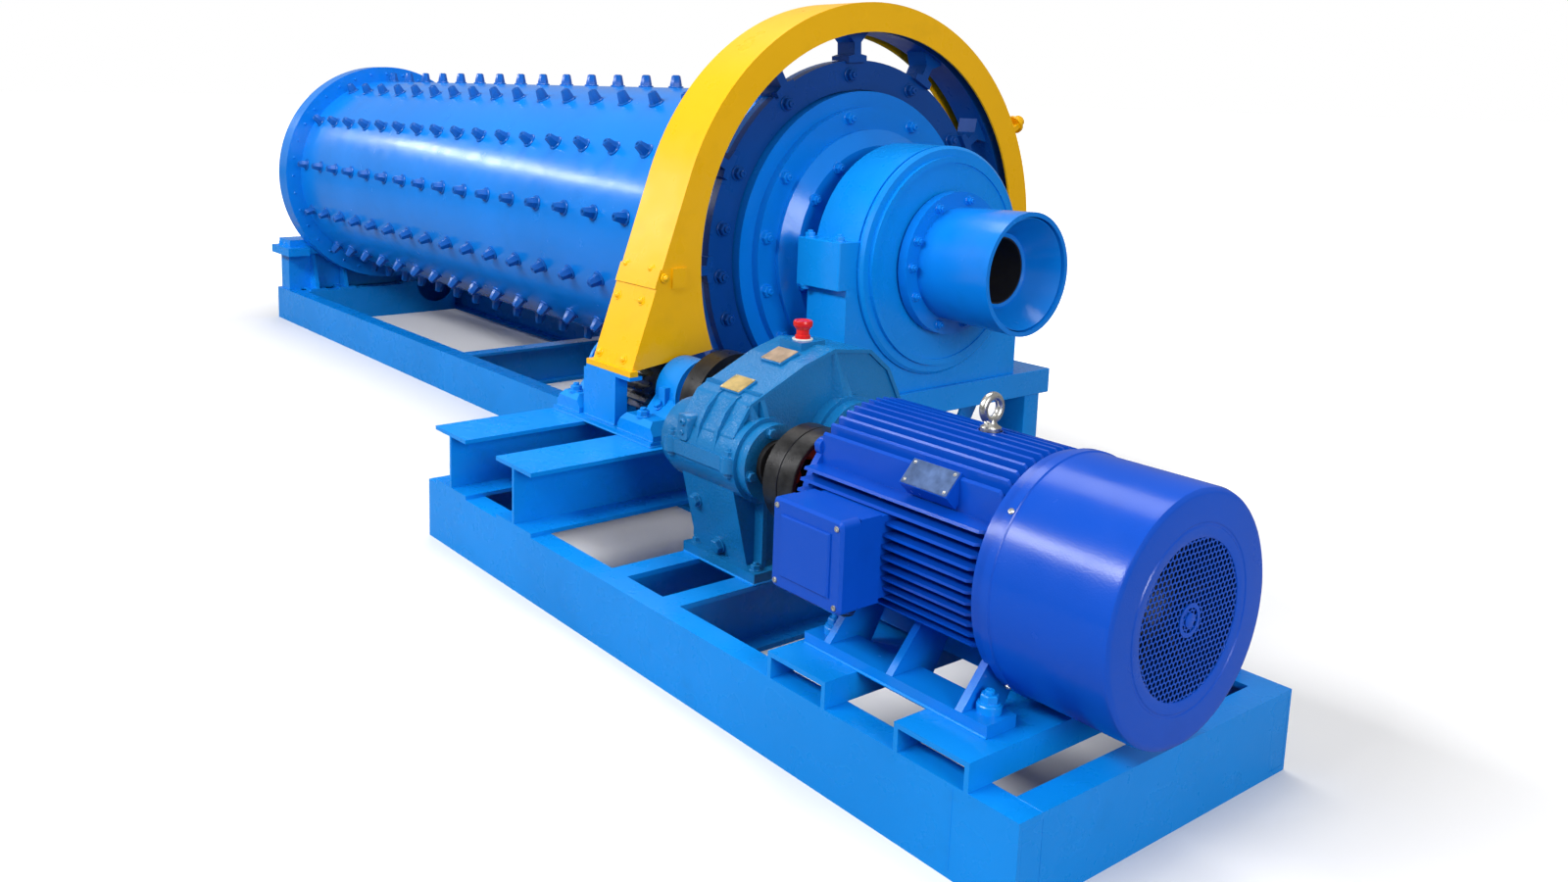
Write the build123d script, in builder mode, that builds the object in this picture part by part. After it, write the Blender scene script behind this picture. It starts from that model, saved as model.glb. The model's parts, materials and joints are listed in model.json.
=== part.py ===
"""Overflow ball mill with a gear drive, on two floor-standing steel frames.

X runs along the mill axis towards the discharge end, +Z is up and the drive
stands on the -Y side. The floor is Z = 0, and the origin lies on the floor
under the mill axis, at the middle of the feed end cross beam.
At the drive end, lengths along X are measured from the outer face of the drum
shell, and save() sets those pieces at their place.
Lengths are in millimetres.
"""
import math
import os

from build123d import *

# Floor frames
frame_height = 155
mill_frame_half_width = 467
mill_beam_width = 65
mill_frame_start = -37
mill_frame_overhang = 366
channel_web = 8
channel_flange = 11
cross_beam_width = 66
notched_beam_lap = 20
notch_centre_y = 290
notch_radius = 105
middle_beam_offset = 18

skid_lead = 52
skid_tail = 59
skid_edge = 77
skid_beam_width = 55
skid_end_beam_width = 50
skid_cross_width = 58
skid_cross_inset = 1

# Cross beams that carry the pinion
pinion_beam_depth = 155
pinion_beam_width = 166
pinion_beam_shifts = (-12, 16)
pinion_beam_flange = 10
pinion_beam_web = 8

# Drum
turning_gap = 61
shell_radius = 450
shell_wall = 16
shell_start = 228
drum_length = 3306
feed_flange_rise = 70
feed_flange_thickness = 50
discharge_flange_gap = 81
discharge_flange_thickness = 25
trunnion_radius = 150
trunnion_bore = 92
feed_trunnion_length = 290
discharge_trunnion_reach = 16
head_plate = 26
head_seat_gap = 4
head_rim_width = 44
head_step_width = 63
head_neck_width = 45

# Liner bolts in rows along the shell
liner_rows = 13
liner_row_angle = 145.2
liner_first = 127
liner_pitch = 178
liner_last_gap = 128
liner_bolt_radius = 17
liner_bolt_sides = 4
liner_bolt_height = 36
liner_bolt_taper = 11
liner_bolt_sink = 3

# Ring gear and pinion
gear_module = 10
ring_teeth = 133
pinion_teeth = 17
pressure_angle = 20
tooth_play = 1.4
tooth_addendum_share = 1
tooth_dedendum_share = 1.25
flank_steps = 2
gear_start = -44
gear_width = 100
ring_rim_depth = 32.5
ring_hub_width = 83
ring_hub_thickness = 25
spoke_count = 12
spoke_first_angle = 93
spoke_setback = 15
spoke_foot_half = 35
spoke_foot_height = 12
spoke_waist_half = 13
spoke_waist_margin = 5
spoke_head_half = 45
spoke_head_height = 32
spoke_lap = 6
pinion_overhang = 5
pinion_bearing_height = 93
pinion_shaft_radius = 36

# Discharge bearing
discharge_bearing_start = 187
discharge_bearing_width = 187
discharge_bearing_radius = 312
bearing_edge = 9
bearing_lip_width = 14
bearing_groove_width = 8
bearing_groove_depth = 5
bearing_cover_radius = 284
bearing_cover_thickness = 8
bearing_cover_bore = 158
bearing_cover_rim = 16
bearing_cover_rise = 4
running_gap = 0.3
seat_gap = 0.3
lug_lap = 27
lug_reach = 198
lug_below = 72
lug_above = 90
lug_start_inset = 41
lug_end_inset = 16
lug_corner_radius = 12
column_gap = 30
column_width = 148
column_inset = 6
pedestal_start_inset = 24
pedestal_end_inset = 11
pedestal_drop = 216
girder_height = 72
girder_start_inset = 4
girder_end_inset = 1
girder_gap = 4
stand_width = 106
stand_inset = 11

# Discharge trumpet
trumpet_flange_radius = 193
trumpet_flange_thickness = 28
trumpet_neck_radius = 152
trumpet_mouth_radius = 160
trumpet_wall = 12
trumpet_length = 264

# Feed pedestal and bearing
feed_bearing_drop = 360
feed_bearing_gap = 18
feed_bearing_width = 148
feed_bearing_radius = 262
feed_bearing_neck_inset = 32
feed_bearing_base_height = 34
feed_plate_thickness = 38
feed_plate_start_reach = 26
feed_plate_middle_reach = 6
feed_plate_end_reach = 63
feed_plate_half_length = 500
feed_flange_clearance = 13
feed_base_inset = 30
feed_girder_inset = 4
feed_girder_width = 106
feed_girder_end_inset = 45
feed_gusset_thickness = 16
feed_gusset_shares = (-0.68, -0.38, 0.3, 0.86)
feed_gusset_foot = 90
feed_gusset_head = 28
feed_foot_half = 42
feed_foot_lip = 10
feed_foot_thickness = 9

# Pinion base plate and bearings
base_plate_margin = 3
base_plate_outer_reach = 187
base_plate_inner_reach = 172
base_plate_thickness = 12
pinion_pit_side_gap = 17
pinion_pit_gap = 12
pinion_bearing_radius = 86
pinion_bearing_widths = (90, 94)
pinion_bearing_gaps = (35, 10)
pinion_rear_foot_reaches = (18, 6)
pinion_front_foot_reaches = (38, 26)
pinion_foot_half_width = 178
pinion_foot_height = 46
pinion_foot_chamfer = 14
pinion_foot_draft = 22
pinion_wing_half_width = 120
pinion_wing_rise = 40
pinion_rib_width = 14
pinion_rib_thickness = 26
pinion_rib_rise = 22
pinion_lip_gap = 1
pinion_lip_thickness = 10
pinion_cap_radius = 76
pinion_cap_thickness = 14

# Gear guard
guard_side_gaps = (41, 40)
guard_tooth_gap = 17
guard_sheet = 6
guard_rim_lap = 3
guard_foot_reach = 135
guard_foot_drop = 265
guard_leg_width = 257
guard_foot_inner_drop = 233
guard_left_split_drop = 36
guard_right_split_angle = 29
guard_right_end_angle = -30
guard_open_angle = 8
guard_foot_flange_thickness = 10
guard_foot_flange_lap = 4
guard_foot_flange_reach = 12
guard_tab_length = 36
guard_tab_thickness = 8
guard_tab_width = 46
guard_tab_inset = 40
guard_lip_above = 30
guard_lip_below = 22
guard_lip_thickness = 5
post_lead = 23
post_length = 150
post_outer_reach = 13
post_depth = 38
post_head_thickness = 10
stand_wall = 8
stand_lap = 26

# Gearbox
gearbox_shaft_gap = 117
gearbox_width = 240
gearbox_case_insets = (35, 27)
gearbox_centres = 242
gearbox_left_reach = 106
gearbox_right_reach = 248
gearbox_flange_half = 16
gearbox_ear_radius = 21
gearbox_flange_inset = 9
gearbox_flange_corner = 30
gearbox_ear_shares = (0.036, 0.366, 0.8, 0.964)
gearbox_foot_left_inset = 47
gearbox_foot_right_reach = 173
gearbox_foot_lead = 17
gearbox_foot_tail = 25
gearbox_foot_height = 24
gearbox_leg_inset = 26
gearbox_leg_foot_inset = 22
gearbox_rib_thickness = 12
gearbox_rib_height_share = 0.42
hood_height = 215
hood_corner_radius = 16
hood_length_shares = (0.047, 0.124, 0.378, 0.523, 0.711, 0.814, 0.883)
hood_height_shares = (0.256, 0.563, 0.884, 1, 0.935, 0.707, 0.353)
input_cap_radius = 84
output_cap_radius = 100
gear_cap_thickness = 26
gear_boss_margin = 9
breather_radius = 22
breather_cap_height = 26
breather_stem_radius = 13
breather_stem_height = 18
breather_edge = 7
breather_share = 0.51
breather_pad_half = 36
breather_pad_rise = 6
input_shaft_radius = 24
output_shaft_radius = 34

# Couplings
output_coupling_gap = 8
output_coupling_radius = 130
output_coupling_rim = 62
output_hub_reach = 44
output_dish_depth = 16
motor_coupling_gap = 41
motor_coupling_radius = 108
motor_coupling_rim = 42
motor_hub_reach = 43
motor_hub_tail = 9
motor_dish_depth = 9
coupling_dish_share = 0.82
coupling_hub_share = 0.46
coupling_gap = 4

# Motor
motor_shaft_gap = 42
motor_shield_length = 60
motor_fin_length = 418
motor_rear_length = 34
motor_fin_radius = 203
motor_fin_depth = 37
motor_fin_thickness = 5
motor_fin_pitch = 19
motor_side_fins = 11
motor_top_fins = 15
motor_bottom_fins = 7
motor_fin_corner = 14
motor_foot_gap = 8
motor_shield_inset = 25
motor_shield_front_radius = 120
motor_shield_lip = 14
motor_ear_count = 4
motor_ear_angle = 45
motor_ear_radius = 17
motor_shaft_radius = 27
motor_foot_outer_half = 220
motor_foot_inner_half = 150
motor_foot_lead = 61
motor_foot_length = 417
motor_foot_thickness = 22
motor_foot_web = 14
motor_foot_web_share = (0.14, 0.5, 0.86)
motor_foot_top_half = 118
motor_web_drop = 108
name_pad_angle = 136
name_pad_share = 0.652
name_pad_length = 104
name_pad_width = 52
name_pad_sink = 30
name_pad_rise = 4
cowl_lap = 12
cowl_length = 226
cowl_rise = 4
cowl_edge_radius = 14
cowl_band_width = 16
cowl_band_rise = 3
cowl_end_sheet = 5
cowl_grille_radius = 128
cowl_grille_rings = 3
cowl_hole_share = 0.43
cowl_groove_radius = 152
cowl_groove_width = 6
cowl_groove_depth = 2
fan_inset = 58
fan_width = 100
fan_tip_gap = 39
fan_hub_radius = 48
fan_blades = 7
fan_blade_thickness = 6
support_sheet = 9
support_leads = (11, 121)
support_widths = (148, 154)
box_lead = 6
box_length = 174
box_neck_gap = 1
box_body_depth = 56
box_lid_depth = 42
box_lid_groove = 4
box_below = 84
box_above = 80
box_neck_inset = 9
box_panel_inset = 26
box_panel_rise = 5
box_lid_chamfer = 5
box_corner_radius = 12
gland_radius = 17
gland_length = 26
gland_shares = (0.3, 0.68)
eye_bolt_gap = 42
eye_ring_radius = 29
eye_ring_hole = 14
eye_ring_thickness = 15
eye_ring_height = 39
eye_ring_edge = 4
eye_boss_radius = 22
eye_stem_height = 16
eye_stem_radius = 16

cut_overrun = 1

# Sizes around the gears that follow from the ones above
ring_pitch_radius = gear_module * ring_teeth / 2
pinion_pitch_radius = gear_module * pinion_teeth / 2
ring_tip_radius = ring_pitch_radius + gear_module * tooth_addendum_share
pinion_tip_radius = pinion_pitch_radius + gear_module * tooth_addendum_share
ring_root_radius = ring_pitch_radius - gear_module * tooth_dedendum_share
ring_rim_inner = ring_root_radius - ring_rim_depth
discharge_flange_radius = ring_rim_inner - discharge_flange_gap
ring_hub_inner = discharge_flange_radius - ring_hub_width
head_rim_radius = ring_hub_inner - head_seat_gap
head_bolt_land_radius = head_rim_radius - head_rim_width
head_step_radius = head_bolt_land_radius - head_step_width
head_neck_radius = head_step_radius - head_neck_width
gear_end = gear_start + gear_width

# Heights: the teeth clear the floor and the feed flange clears the frame
feed_flange_radius = shell_radius + feed_flange_rise
mill_axis_height = turning_gap + max(ring_tip_radius, frame_height + feed_flange_radius)
pinion_beam_top = frame_height + pinion_beam_depth
base_plate_top = pinion_beam_top + base_plate_thickness
drive_height = base_plate_top + pinion_bearing_height
axis_drop = mill_axis_height - drive_height
feed_plate_top = mill_axis_height - feed_bearing_drop
feed_plate_bottom = feed_plate_top - feed_plate_thickness
pedestal_top = mill_axis_height - pedestal_drop
motor_shaft_height = motor_fin_radius + motor_foot_gap
support_top = drive_height - motor_shaft_height

# Places across the mill
mill_inner_y = mill_frame_half_width - mill_beam_width
gear_centres = ring_pitch_radius + pinion_pitch_radius
pinion_y = -math.sqrt(gear_centres**2 - axis_drop**2)
mesh_angle = math.degrees(math.atan2(-axis_drop, pinion_y))
input_shaft_y = pinion_y - gearbox_centres
motor_y = input_shaft_y
skid_outer_y = motor_y - motor_foot_outer_half - skid_edge
skid_inner_y = -mill_frame_half_width
skid_inside = (skid_outer_y + skid_beam_width, skid_inner_y - skid_beam_width)
base_plate_outer_y = pinion_y - base_plate_outer_reach
base_plate_inner_y = pinion_y + base_plate_inner_reach
girder_half_length = -pinion_y - pinion_foot_half_width - girder_gap

# Places along the mill, from the feed end
shell_end = shell_start + drum_length
feed_head_outside = shell_start - feed_flange_thickness
feed_trunnion_end = feed_head_outside - feed_trunnion_length
feed_bearing_end = feed_head_outside - feed_bearing_gap
feed_bearing_start = feed_bearing_end - feed_bearing_width
feed_plate_start = feed_bearing_start - feed_plate_start_reach
feed_plate_middle_end = feed_bearing_end + feed_plate_middle_reach
feed_plate_end = feed_bearing_end + feed_plate_end_reach
feed_girder_start = feed_plate_start + feed_girder_inset
feed_girder_end = feed_girder_start + feed_girder_width
notched_beam_near = feed_head_outside + notched_beam_lap
middle_beam_start = (shell_start + shell_end) / 2 - middle_beam_offset
mill_frame_end = shell_end + mill_frame_overhang

# Places at the drive end, from the outer face of the drum shell
guard_start = gear_start - guard_side_gaps[0]
guard_end = gear_end + guard_side_gaps[1]
rear_bearing_end = guard_start - pinion_bearing_gaps[0]
rear_bearing_start = rear_bearing_end - pinion_bearing_widths[0]
front_bearing_start = guard_end + pinion_bearing_gaps[1]
front_bearing_end = front_bearing_start + pinion_bearing_widths[1]
rear_foot_span = (
    rear_bearing_start - pinion_rear_foot_reaches[0],
    rear_bearing_end + pinion_rear_foot_reaches[1],
)
front_foot_span = (
    front_bearing_start - pinion_front_foot_reaches[0],
    front_bearing_end + pinion_front_foot_reaches[1],
)
pinion_beam_starts = (
    rear_foot_span[0] + pinion_beam_shifts[0],
    front_foot_span[0] + pinion_beam_shifts[1],
)
base_plate_start = rear_foot_span[0] - base_plate_margin
base_plate_end = front_foot_span[1] + base_plate_margin
skid_start = base_plate_start - skid_lead
discharge_bearing_end = discharge_bearing_start + discharge_bearing_width
discharge_trunnion_end = discharge_bearing_end + discharge_trunnion_reach
output_hub_start = front_bearing_end + pinion_cap_thickness + output_coupling_gap
output_coupling_start = output_hub_start + output_hub_reach
output_coupling_end = output_coupling_start + output_coupling_rim
output_hub_end = output_coupling_end + output_hub_reach
gearbox_start = output_hub_end + gearbox_shaft_gap
gearbox_end = gearbox_start + gearbox_width
gearbox_foot_start = gearbox_start + gearbox_foot_lead
gearbox_foot_end = gearbox_end + gearbox_foot_tail
motor_coupling_hub_start = gearbox_end + gear_cap_thickness + motor_coupling_gap
motor_coupling_start = motor_coupling_hub_start + motor_hub_reach
motor_coupling_end = motor_coupling_start + 2 * motor_coupling_rim + coupling_gap
motor_coupling_hub_end = motor_coupling_end + motor_hub_tail
motor_start = motor_coupling_hub_end + motor_shaft_gap
motor_shield_end = motor_start + motor_shield_length
motor_fin_end = motor_shield_end + motor_fin_length
motor_rear_end = motor_fin_end + motor_rear_length
motor_foot_start = motor_shield_end + motor_foot_lead
motor_foot_end = motor_foot_start + motor_foot_length
cowl_start = motor_rear_end - cowl_lap
cowl_end = cowl_start + cowl_length
skid_end = cowl_end - skid_tail
skid_cross_starts = (
    gearbox_foot_start + skid_cross_inset,
    gearbox_foot_end - skid_cross_width - skid_cross_inset,
)


def block(x_span, y_span, z_span, mode=Mode.ADD):
    """Rectangular block between two values on each axis."""
    with Locations((x_span[0], y_span[0], z_span[0])):
        Box(
            x_span[1] - x_span[0],
            y_span[1] - y_span[0],
            z_span[1] - z_span[0],
            align=(Align.MIN, Align.MIN, Align.MIN),
            mode=mode,
        )


def disc(x_span, centre, radius, bore=0, mode=Mode.ADD):
    """Round plate or sleeve along X, around the point centre = (y, z)."""
    with BuildSketch(Plane.YZ.offset(x_span[0])) as profile:
        with Locations(centre):
            Circle(radius)
            if bore > 0:
                Circle(bore, mode=Mode.SUBTRACT)
    extrude(profile.sketch, amount=x_span[1] - x_span[0], mode=mode)


def turned(points, centre_y, centre_z, mode=Mode.ADD):
    """Solid turned about an axis along X, from (x, radius) corners."""
    with BuildSketch(Plane.XZ.offset(-centre_y)) as profile:
        with BuildLine():
            Polyline(*[(x, centre_z + radius) for x, radius in points], close=True)
        make_face()
    revolve(profile.sketch, axis=Axis((0, centre_y, centre_z), (1, 0, 0)), mode=mode)


def outline_along_x(x_span, points, mode=Mode.ADD):
    """Flat outline of (y, z) corners, extruded along X."""
    with BuildSketch(Plane.YZ.offset(x_span[0])) as profile:
        with BuildLine():
            Polyline(*points, close=True)
        make_face()
    extrude(profile.sketch, amount=x_span[1] - x_span[0], mode=mode)


def outline_along_y(y_span, points, mode=Mode.ADD):
    """Flat outline of (x, z) corners, extruded along Y."""
    with BuildSketch(Plane.XZ.offset(-y_span[1])) as profile:
        with BuildLine():
            Polyline(*points, close=True)
        make_face()
    extrude(profile.sketch, amount=y_span[1] - y_span[0], mode=mode)


def channel_corners(web, tip, bottom, top):
    """Corners of a channel section with its web at one side."""
    side = 1 if tip > web else -1
    inner = web + side * channel_web
    return [
        (web, bottom),
        (tip, bottom),
        (tip, bottom + channel_flange),
        (inner, bottom + channel_flange),
        (inner, top - channel_flange),
        (tip, top - channel_flange),
        (tip, top),
        (web, top),
    ]


def beam_corners(start, end, bottom, top, web_thickness, flange_thickness):
    """Corners of an I section between two edges."""
    middle = (start + end) / 2
    left_web = middle - web_thickness / 2
    right_web = middle + web_thickness / 2
    return [
        (start, bottom),
        (end, bottom),
        (end, bottom + flange_thickness),
        (right_web, bottom + flange_thickness),
        (right_web, top - flange_thickness),
        (end, top - flange_thickness),
        (end, top),
        (start, top),
        (start, top - flange_thickness),
        (left_web, top - flange_thickness),
        (left_web, bottom + flange_thickness),
        (start, bottom + flange_thickness),
    ]


def save(part, name, from_x=0):
    """Set a finished piece at its place along X, label it and write its STEP file."""
    piece = part.moved(Location((from_x, 0, 0)))
    piece.label = name
    export_step(piece, f"parts/{name}.step")


os.makedirs("parts", exist_ok=True)


# Mill frame
for side, name in ((-1, "mill_frame_left_beam"), (1, "mill_frame_right_beam")):
    with BuildPart() as mill_side_beam:
        outline_along_x(
            (mill_frame_start, mill_frame_end),
            channel_corners(
                side * mill_frame_half_width, side * mill_inner_y, 0, frame_height
            ),
        )
    save(mill_side_beam.part, name)

with BuildPart() as mill_feed_beam:
    outline_along_y(
        (-mill_inner_y, mill_inner_y),
        channel_corners(mill_frame_start, -mill_frame_start, 0, frame_height),
    )
save(mill_feed_beam.part, "mill_frame_feed_beam")

notched_beam_far = notched_beam_near - cross_beam_width
with BuildPart() as mill_notched_beam:
    outline_along_y(
        (-mill_inner_y, mill_inner_y),
        channel_corners(notched_beam_near, notched_beam_far, 0, frame_height),
    )
    disc(
        (notched_beam_far - cut_overrun, notched_beam_near + cut_overrun),
        (notch_centre_y, frame_height),
        notch_radius,
        mode=Mode.SUBTRACT,
    )
save(mill_notched_beam.part, "mill_frame_notched_beam")

for start, name in (
    (middle_beam_start, "mill_frame_middle_beam"),
    (mill_frame_end - cross_beam_width, "mill_frame_discharge_beam"),
):
    with BuildPart() as mill_cross_beam:
        outline_along_y(
            (-mill_inner_y, mill_inner_y),
            beam_corners(
                start,
                start + cross_beam_width,
                0,
                frame_height,
                channel_web,
                channel_flange,
            ),
        )
    save(mill_cross_beam.part, name)

# Drive skid
for web, tip, name in (
    (skid_outer_y, skid_inside[0], "drive_skid_left_beam"),
    (skid_inner_y, skid_inside[1], "drive_skid_right_beam"),
):
    with BuildPart() as skid_side_beam:
        outline_along_x(
            (skid_start, skid_end),
            channel_corners(web, tip, 0, frame_height),
        )
    save(skid_side_beam.part, name, shell_end)

for web, tip, name in (
    (skid_start, skid_start + skid_end_beam_width, "drive_skid_far_beam"),
    (skid_end, skid_end - skid_end_beam_width, "drive_skid_near_beam"),
):
    with BuildPart() as skid_end_beam:
        outline_along_y(skid_inside, channel_corners(web, tip, 0, frame_height))
    save(skid_end_beam.part, name, shell_end)

with BuildPart() as skid_cross_members:
    for start in skid_cross_starts:
        outline_along_y(
            skid_inside,
            channel_corners(start, start + skid_cross_width, 0, frame_height),
        )
save(skid_cross_members.part, "drive_skid_cross_members", shell_end)

# Two wide-flange beams from the drive skid to the mill frame
with BuildPart() as pinion_cross_beams:
    for start in pinion_beam_starts:
        outline_along_y(
            (skid_outer_y, -mill_inner_y),
            beam_corners(
                start,
                start + pinion_beam_width,
                frame_height,
                pinion_beam_top,
                pinion_beam_web,
                pinion_beam_flange,
            ),
        )
save(pinion_cross_beams.part, "pinion_cross_beams", shell_end)

# Drum shell with its two end flanges and the rows of liner bolts
liner_span = drum_length - liner_first - liner_last_gap
liner_columns = round(liner_span / liner_pitch) + 1
liner_planes = []
for row in range(liner_rows):
    turn = math.radians(liner_row_angle) + 2 * math.pi * row / liner_rows
    row_radius = shell_radius - liner_bolt_sink
    for column in range(liner_columns):
        liner_planes.append(
            Plane(
                origin=(
                    shell_start + liner_first + column * liner_pitch,
                    row_radius * math.cos(turn),
                    mill_axis_height + row_radius * math.sin(turn),
                ),
                x_dir=(1, 0, 0),
                z_dir=(0, math.cos(turn), math.sin(turn)),
            )
        )
with BuildPart() as drum_shell:
    turned(
        [
            (shell_start, shell_radius - shell_wall),
            (shell_end, shell_radius - shell_wall),
            (shell_end, discharge_flange_radius),
            (shell_end - discharge_flange_thickness, discharge_flange_radius),
            (shell_end - discharge_flange_thickness, shell_radius),
            (shell_start + feed_flange_thickness, shell_radius),
            (shell_start + feed_flange_thickness, feed_flange_radius),
            (shell_start, feed_flange_radius),
        ],
        0,
        mill_axis_height,
    )
    with BuildSketch(*liner_planes):
        RegularPolygon(
            liner_bolt_radius, liner_bolt_sides, rotation=180 / liner_bolt_sides
        )
    extrude(amount=liner_bolt_height + liner_bolt_sink, taper=liner_bolt_taper)
save(drum_shell.part, "drum_shell")

with BuildPart() as feed_head:
    turned(
        [
            (shell_start, trunnion_bore),
            (shell_start, feed_flange_radius),
            (feed_head_outside, feed_flange_radius),
            (feed_head_outside, trunnion_radius),
            (feed_trunnion_end, trunnion_radius),
            (feed_trunnion_end, trunnion_bore),
        ],
        0,
        mill_axis_height,
    )
save(feed_head.part, "feed_head")

head_front = ring_hub_thickness + head_plate
head_land = head_front + head_plate
head_step = head_land + head_plate / 2
head_neck = head_step + head_plate
with BuildPart() as discharge_head:
    turned(
        [
            (0, trunnion_bore),
            (0, head_rim_radius),
            (head_front, head_rim_radius),
            (head_front, head_bolt_land_radius),
            (head_land, head_bolt_land_radius),
            (head_land, head_step_radius),
            (head_step, head_step_radius),
            (head_neck, head_neck_radius),
            (head_neck, trunnion_radius),
            (discharge_trunnion_end, trunnion_radius),
            (discharge_trunnion_end, trunnion_bore),
        ],
        0,
        mill_axis_height,
    )
save(discharge_head.part, "discharge_head", shell_end)


def involute_turn(radius, base_radius):
    """Angle in radians that an involute has turned at a radius."""
    rolled = math.sqrt(max(radius**2 - base_radius**2, 0))
    return rolled / base_radius - math.atan2(rolled, base_radius)


def gear_corners(teeth, first_tooth, centre):
    """Closed outline of an involute gear, with one tooth at an angle."""
    pitch_radius = gear_module * teeth / 2
    base_radius = pitch_radius * math.cos(math.radians(pressure_angle))
    tip = pitch_radius + gear_module * tooth_addendum_share
    root = pitch_radius - gear_module * tooth_dedendum_share
    half_pitch = math.pi / (2 * teeth) - tooth_play / (2 * pitch_radius)
    pitch_turn = involute_turn(pitch_radius, base_radius)
    radii = [root + (tip - root) * step / flank_steps for step in range(flank_steps + 1)]
    half_angles = [
        half_pitch + pitch_turn - involute_turn(max(radius, base_radius), base_radius)
        for radius in radii
    ]
    corners = []
    for tooth in range(teeth):
        middle = math.radians(first_tooth) + 2 * math.pi * tooth / teeth
        rising = [(r, middle - a) for r, a in zip(radii, half_angles)]
        falling = [(r, middle + a) for r, a in zip(reversed(radii), reversed(half_angles))]
        for radius, angle in rising + falling:
            corners.append(
                (
                    centre[0] + radius * math.cos(angle),
                    centre[1] + radius * math.sin(angle),
                )
            )
    return corners


def spoke_corners(turn):
    """Waisted outline of a spoke at an angle in degrees, as (y, z) corners."""
    foot_start = discharge_flange_radius - spoke_lap
    foot_top = discharge_flange_radius + spoke_foot_height
    waist_start = foot_top + spoke_waist_margin
    waist_end = ring_rim_inner + cut_overrun - spoke_head_height
    head_end = ring_rim_inner + spoke_lap
    right_side = [
        (spoke_foot_half, foot_start),
        (spoke_foot_half, foot_top),
        (spoke_waist_half, waist_start),
        (spoke_waist_half, waist_end),
        (spoke_head_half, ring_rim_inner),
        (spoke_head_half, head_end),
    ]
    left_side = [(-across, out) for across, out in reversed(right_side)]
    cosine = math.cos(math.radians(turn))
    sine = math.sin(math.radians(turn))
    return [
        (out * cosine - across * sine, mill_axis_height + out * sine + across * cosine)
        for across, out in right_side + left_side
    ]


# Ring gear: toothed rim, waisted spokes and the bolted hub flange
with BuildPart() as ring_gear:
    outline_along_x(
        (gear_start, gear_end),
        gear_corners(ring_teeth, mesh_angle, (0, mill_axis_height)),
    )
    disc(
        (gear_start, gear_end),
        (0, mill_axis_height),
        ring_rim_inner,
        mode=Mode.SUBTRACT,
    )
    disc(
        (0, ring_hub_thickness),
        (0, mill_axis_height),
        discharge_flange_radius,
        ring_hub_inner,
    )
    for spoke in range(spoke_count):
        outline_along_x(
            (gear_start + spoke_setback, gear_end - spoke_setback),
            spoke_corners(spoke_first_angle + 360 * spoke / spoke_count),
        )
    disc(
        (gear_start, 0),
        (0, mill_axis_height),
        discharge_flange_radius + cut_overrun,
        mode=Mode.SUBTRACT,
    )
save(ring_gear.part, "ring_gear", shell_end)

# Discharge trumpet on the end of the trunnion
trumpet_face = discharge_trunnion_end + trumpet_flange_thickness
trumpet_end = discharge_trunnion_end + trumpet_length
with BuildPart() as discharge_trumpet:
    turned(
        [
            (discharge_trunnion_end, trunnion_bore),
            (discharge_trunnion_end, trumpet_flange_radius),
            (trumpet_face, trumpet_flange_radius),
            (trumpet_face, trumpet_neck_radius),
            (trumpet_end, trumpet_mouth_radius),
            (trumpet_end, trumpet_mouth_radius - trumpet_wall),
            (trumpet_face + trumpet_wall, trumpet_neck_radius - trumpet_wall),
            (trumpet_face + trumpet_wall, trunnion_bore),
        ],
        0,
        mill_axis_height,
    )
save(discharge_trumpet.part, "discharge_trumpet", shell_end)

# Discharge bearing housing with a grooved front edge and two split-line lugs
lug_inner_y = discharge_bearing_radius - lug_lap
lug_outer_y = discharge_bearing_radius + lug_reach
lug_start = discharge_bearing_start + lug_start_inset
lug_end = discharge_bearing_end - lug_end_inset
bearing_bore = trunnion_radius + running_gap
bearing_lip = discharge_bearing_end - bearing_lip_width
bearing_groove = bearing_lip - bearing_groove_width
groove_floor = discharge_bearing_radius - bearing_groove_depth
with BuildPart() as discharge_bearing_housing:
    turned(
        [
            (discharge_bearing_start, bearing_bore),
            (discharge_bearing_start, discharge_bearing_radius - bearing_edge),
            (discharge_bearing_start + bearing_edge, discharge_bearing_radius),
            (bearing_groove, discharge_bearing_radius),
            (bearing_groove, groove_floor),
            (bearing_lip, groove_floor),
            (bearing_lip, discharge_bearing_radius),
            (discharge_bearing_end - bearing_edge, discharge_bearing_radius),
            (discharge_bearing_end, discharge_bearing_radius - bearing_edge),
            (discharge_bearing_end, bearing_bore),
        ],
        0,
        mill_axis_height,
    )
    for side in (-1, 1):
        low, high = sorted((side * lug_inner_y, side * lug_outer_y))
        block(
            (lug_start, lug_end),
            (low, high),
            (mill_axis_height - lug_below, mill_axis_height + lug_above),
        )
    outer_corners = discharge_bearing_housing.edges().filter_by(Axis.Z)
    fillet(
        outer_corners.group_by(Axis.Y)[0] + outer_corners.group_by(Axis.Y)[-1],
        lug_corner_radius,
    )
save(discharge_bearing_housing.part, "discharge_bearing_housing", shell_end)

cover_face = discharge_bearing_end + bearing_cover_thickness
cover_rim = bearing_cover_radius - bearing_cover_rim
with BuildPart() as discharge_bearing_cover:
    turned(
        [
            (discharge_bearing_end, bearing_cover_bore),
            (discharge_bearing_end, bearing_cover_radius),
            (cover_face + bearing_cover_rise, bearing_cover_radius),
            (cover_face + bearing_cover_rise, cover_rim),
            (cover_face, cover_rim),
            (cover_face, bearing_cover_bore),
        ],
        0,
        mill_axis_height,
    )
save(discharge_bearing_cover.part, "discharge_bearing_cover", shell_end)

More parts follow.
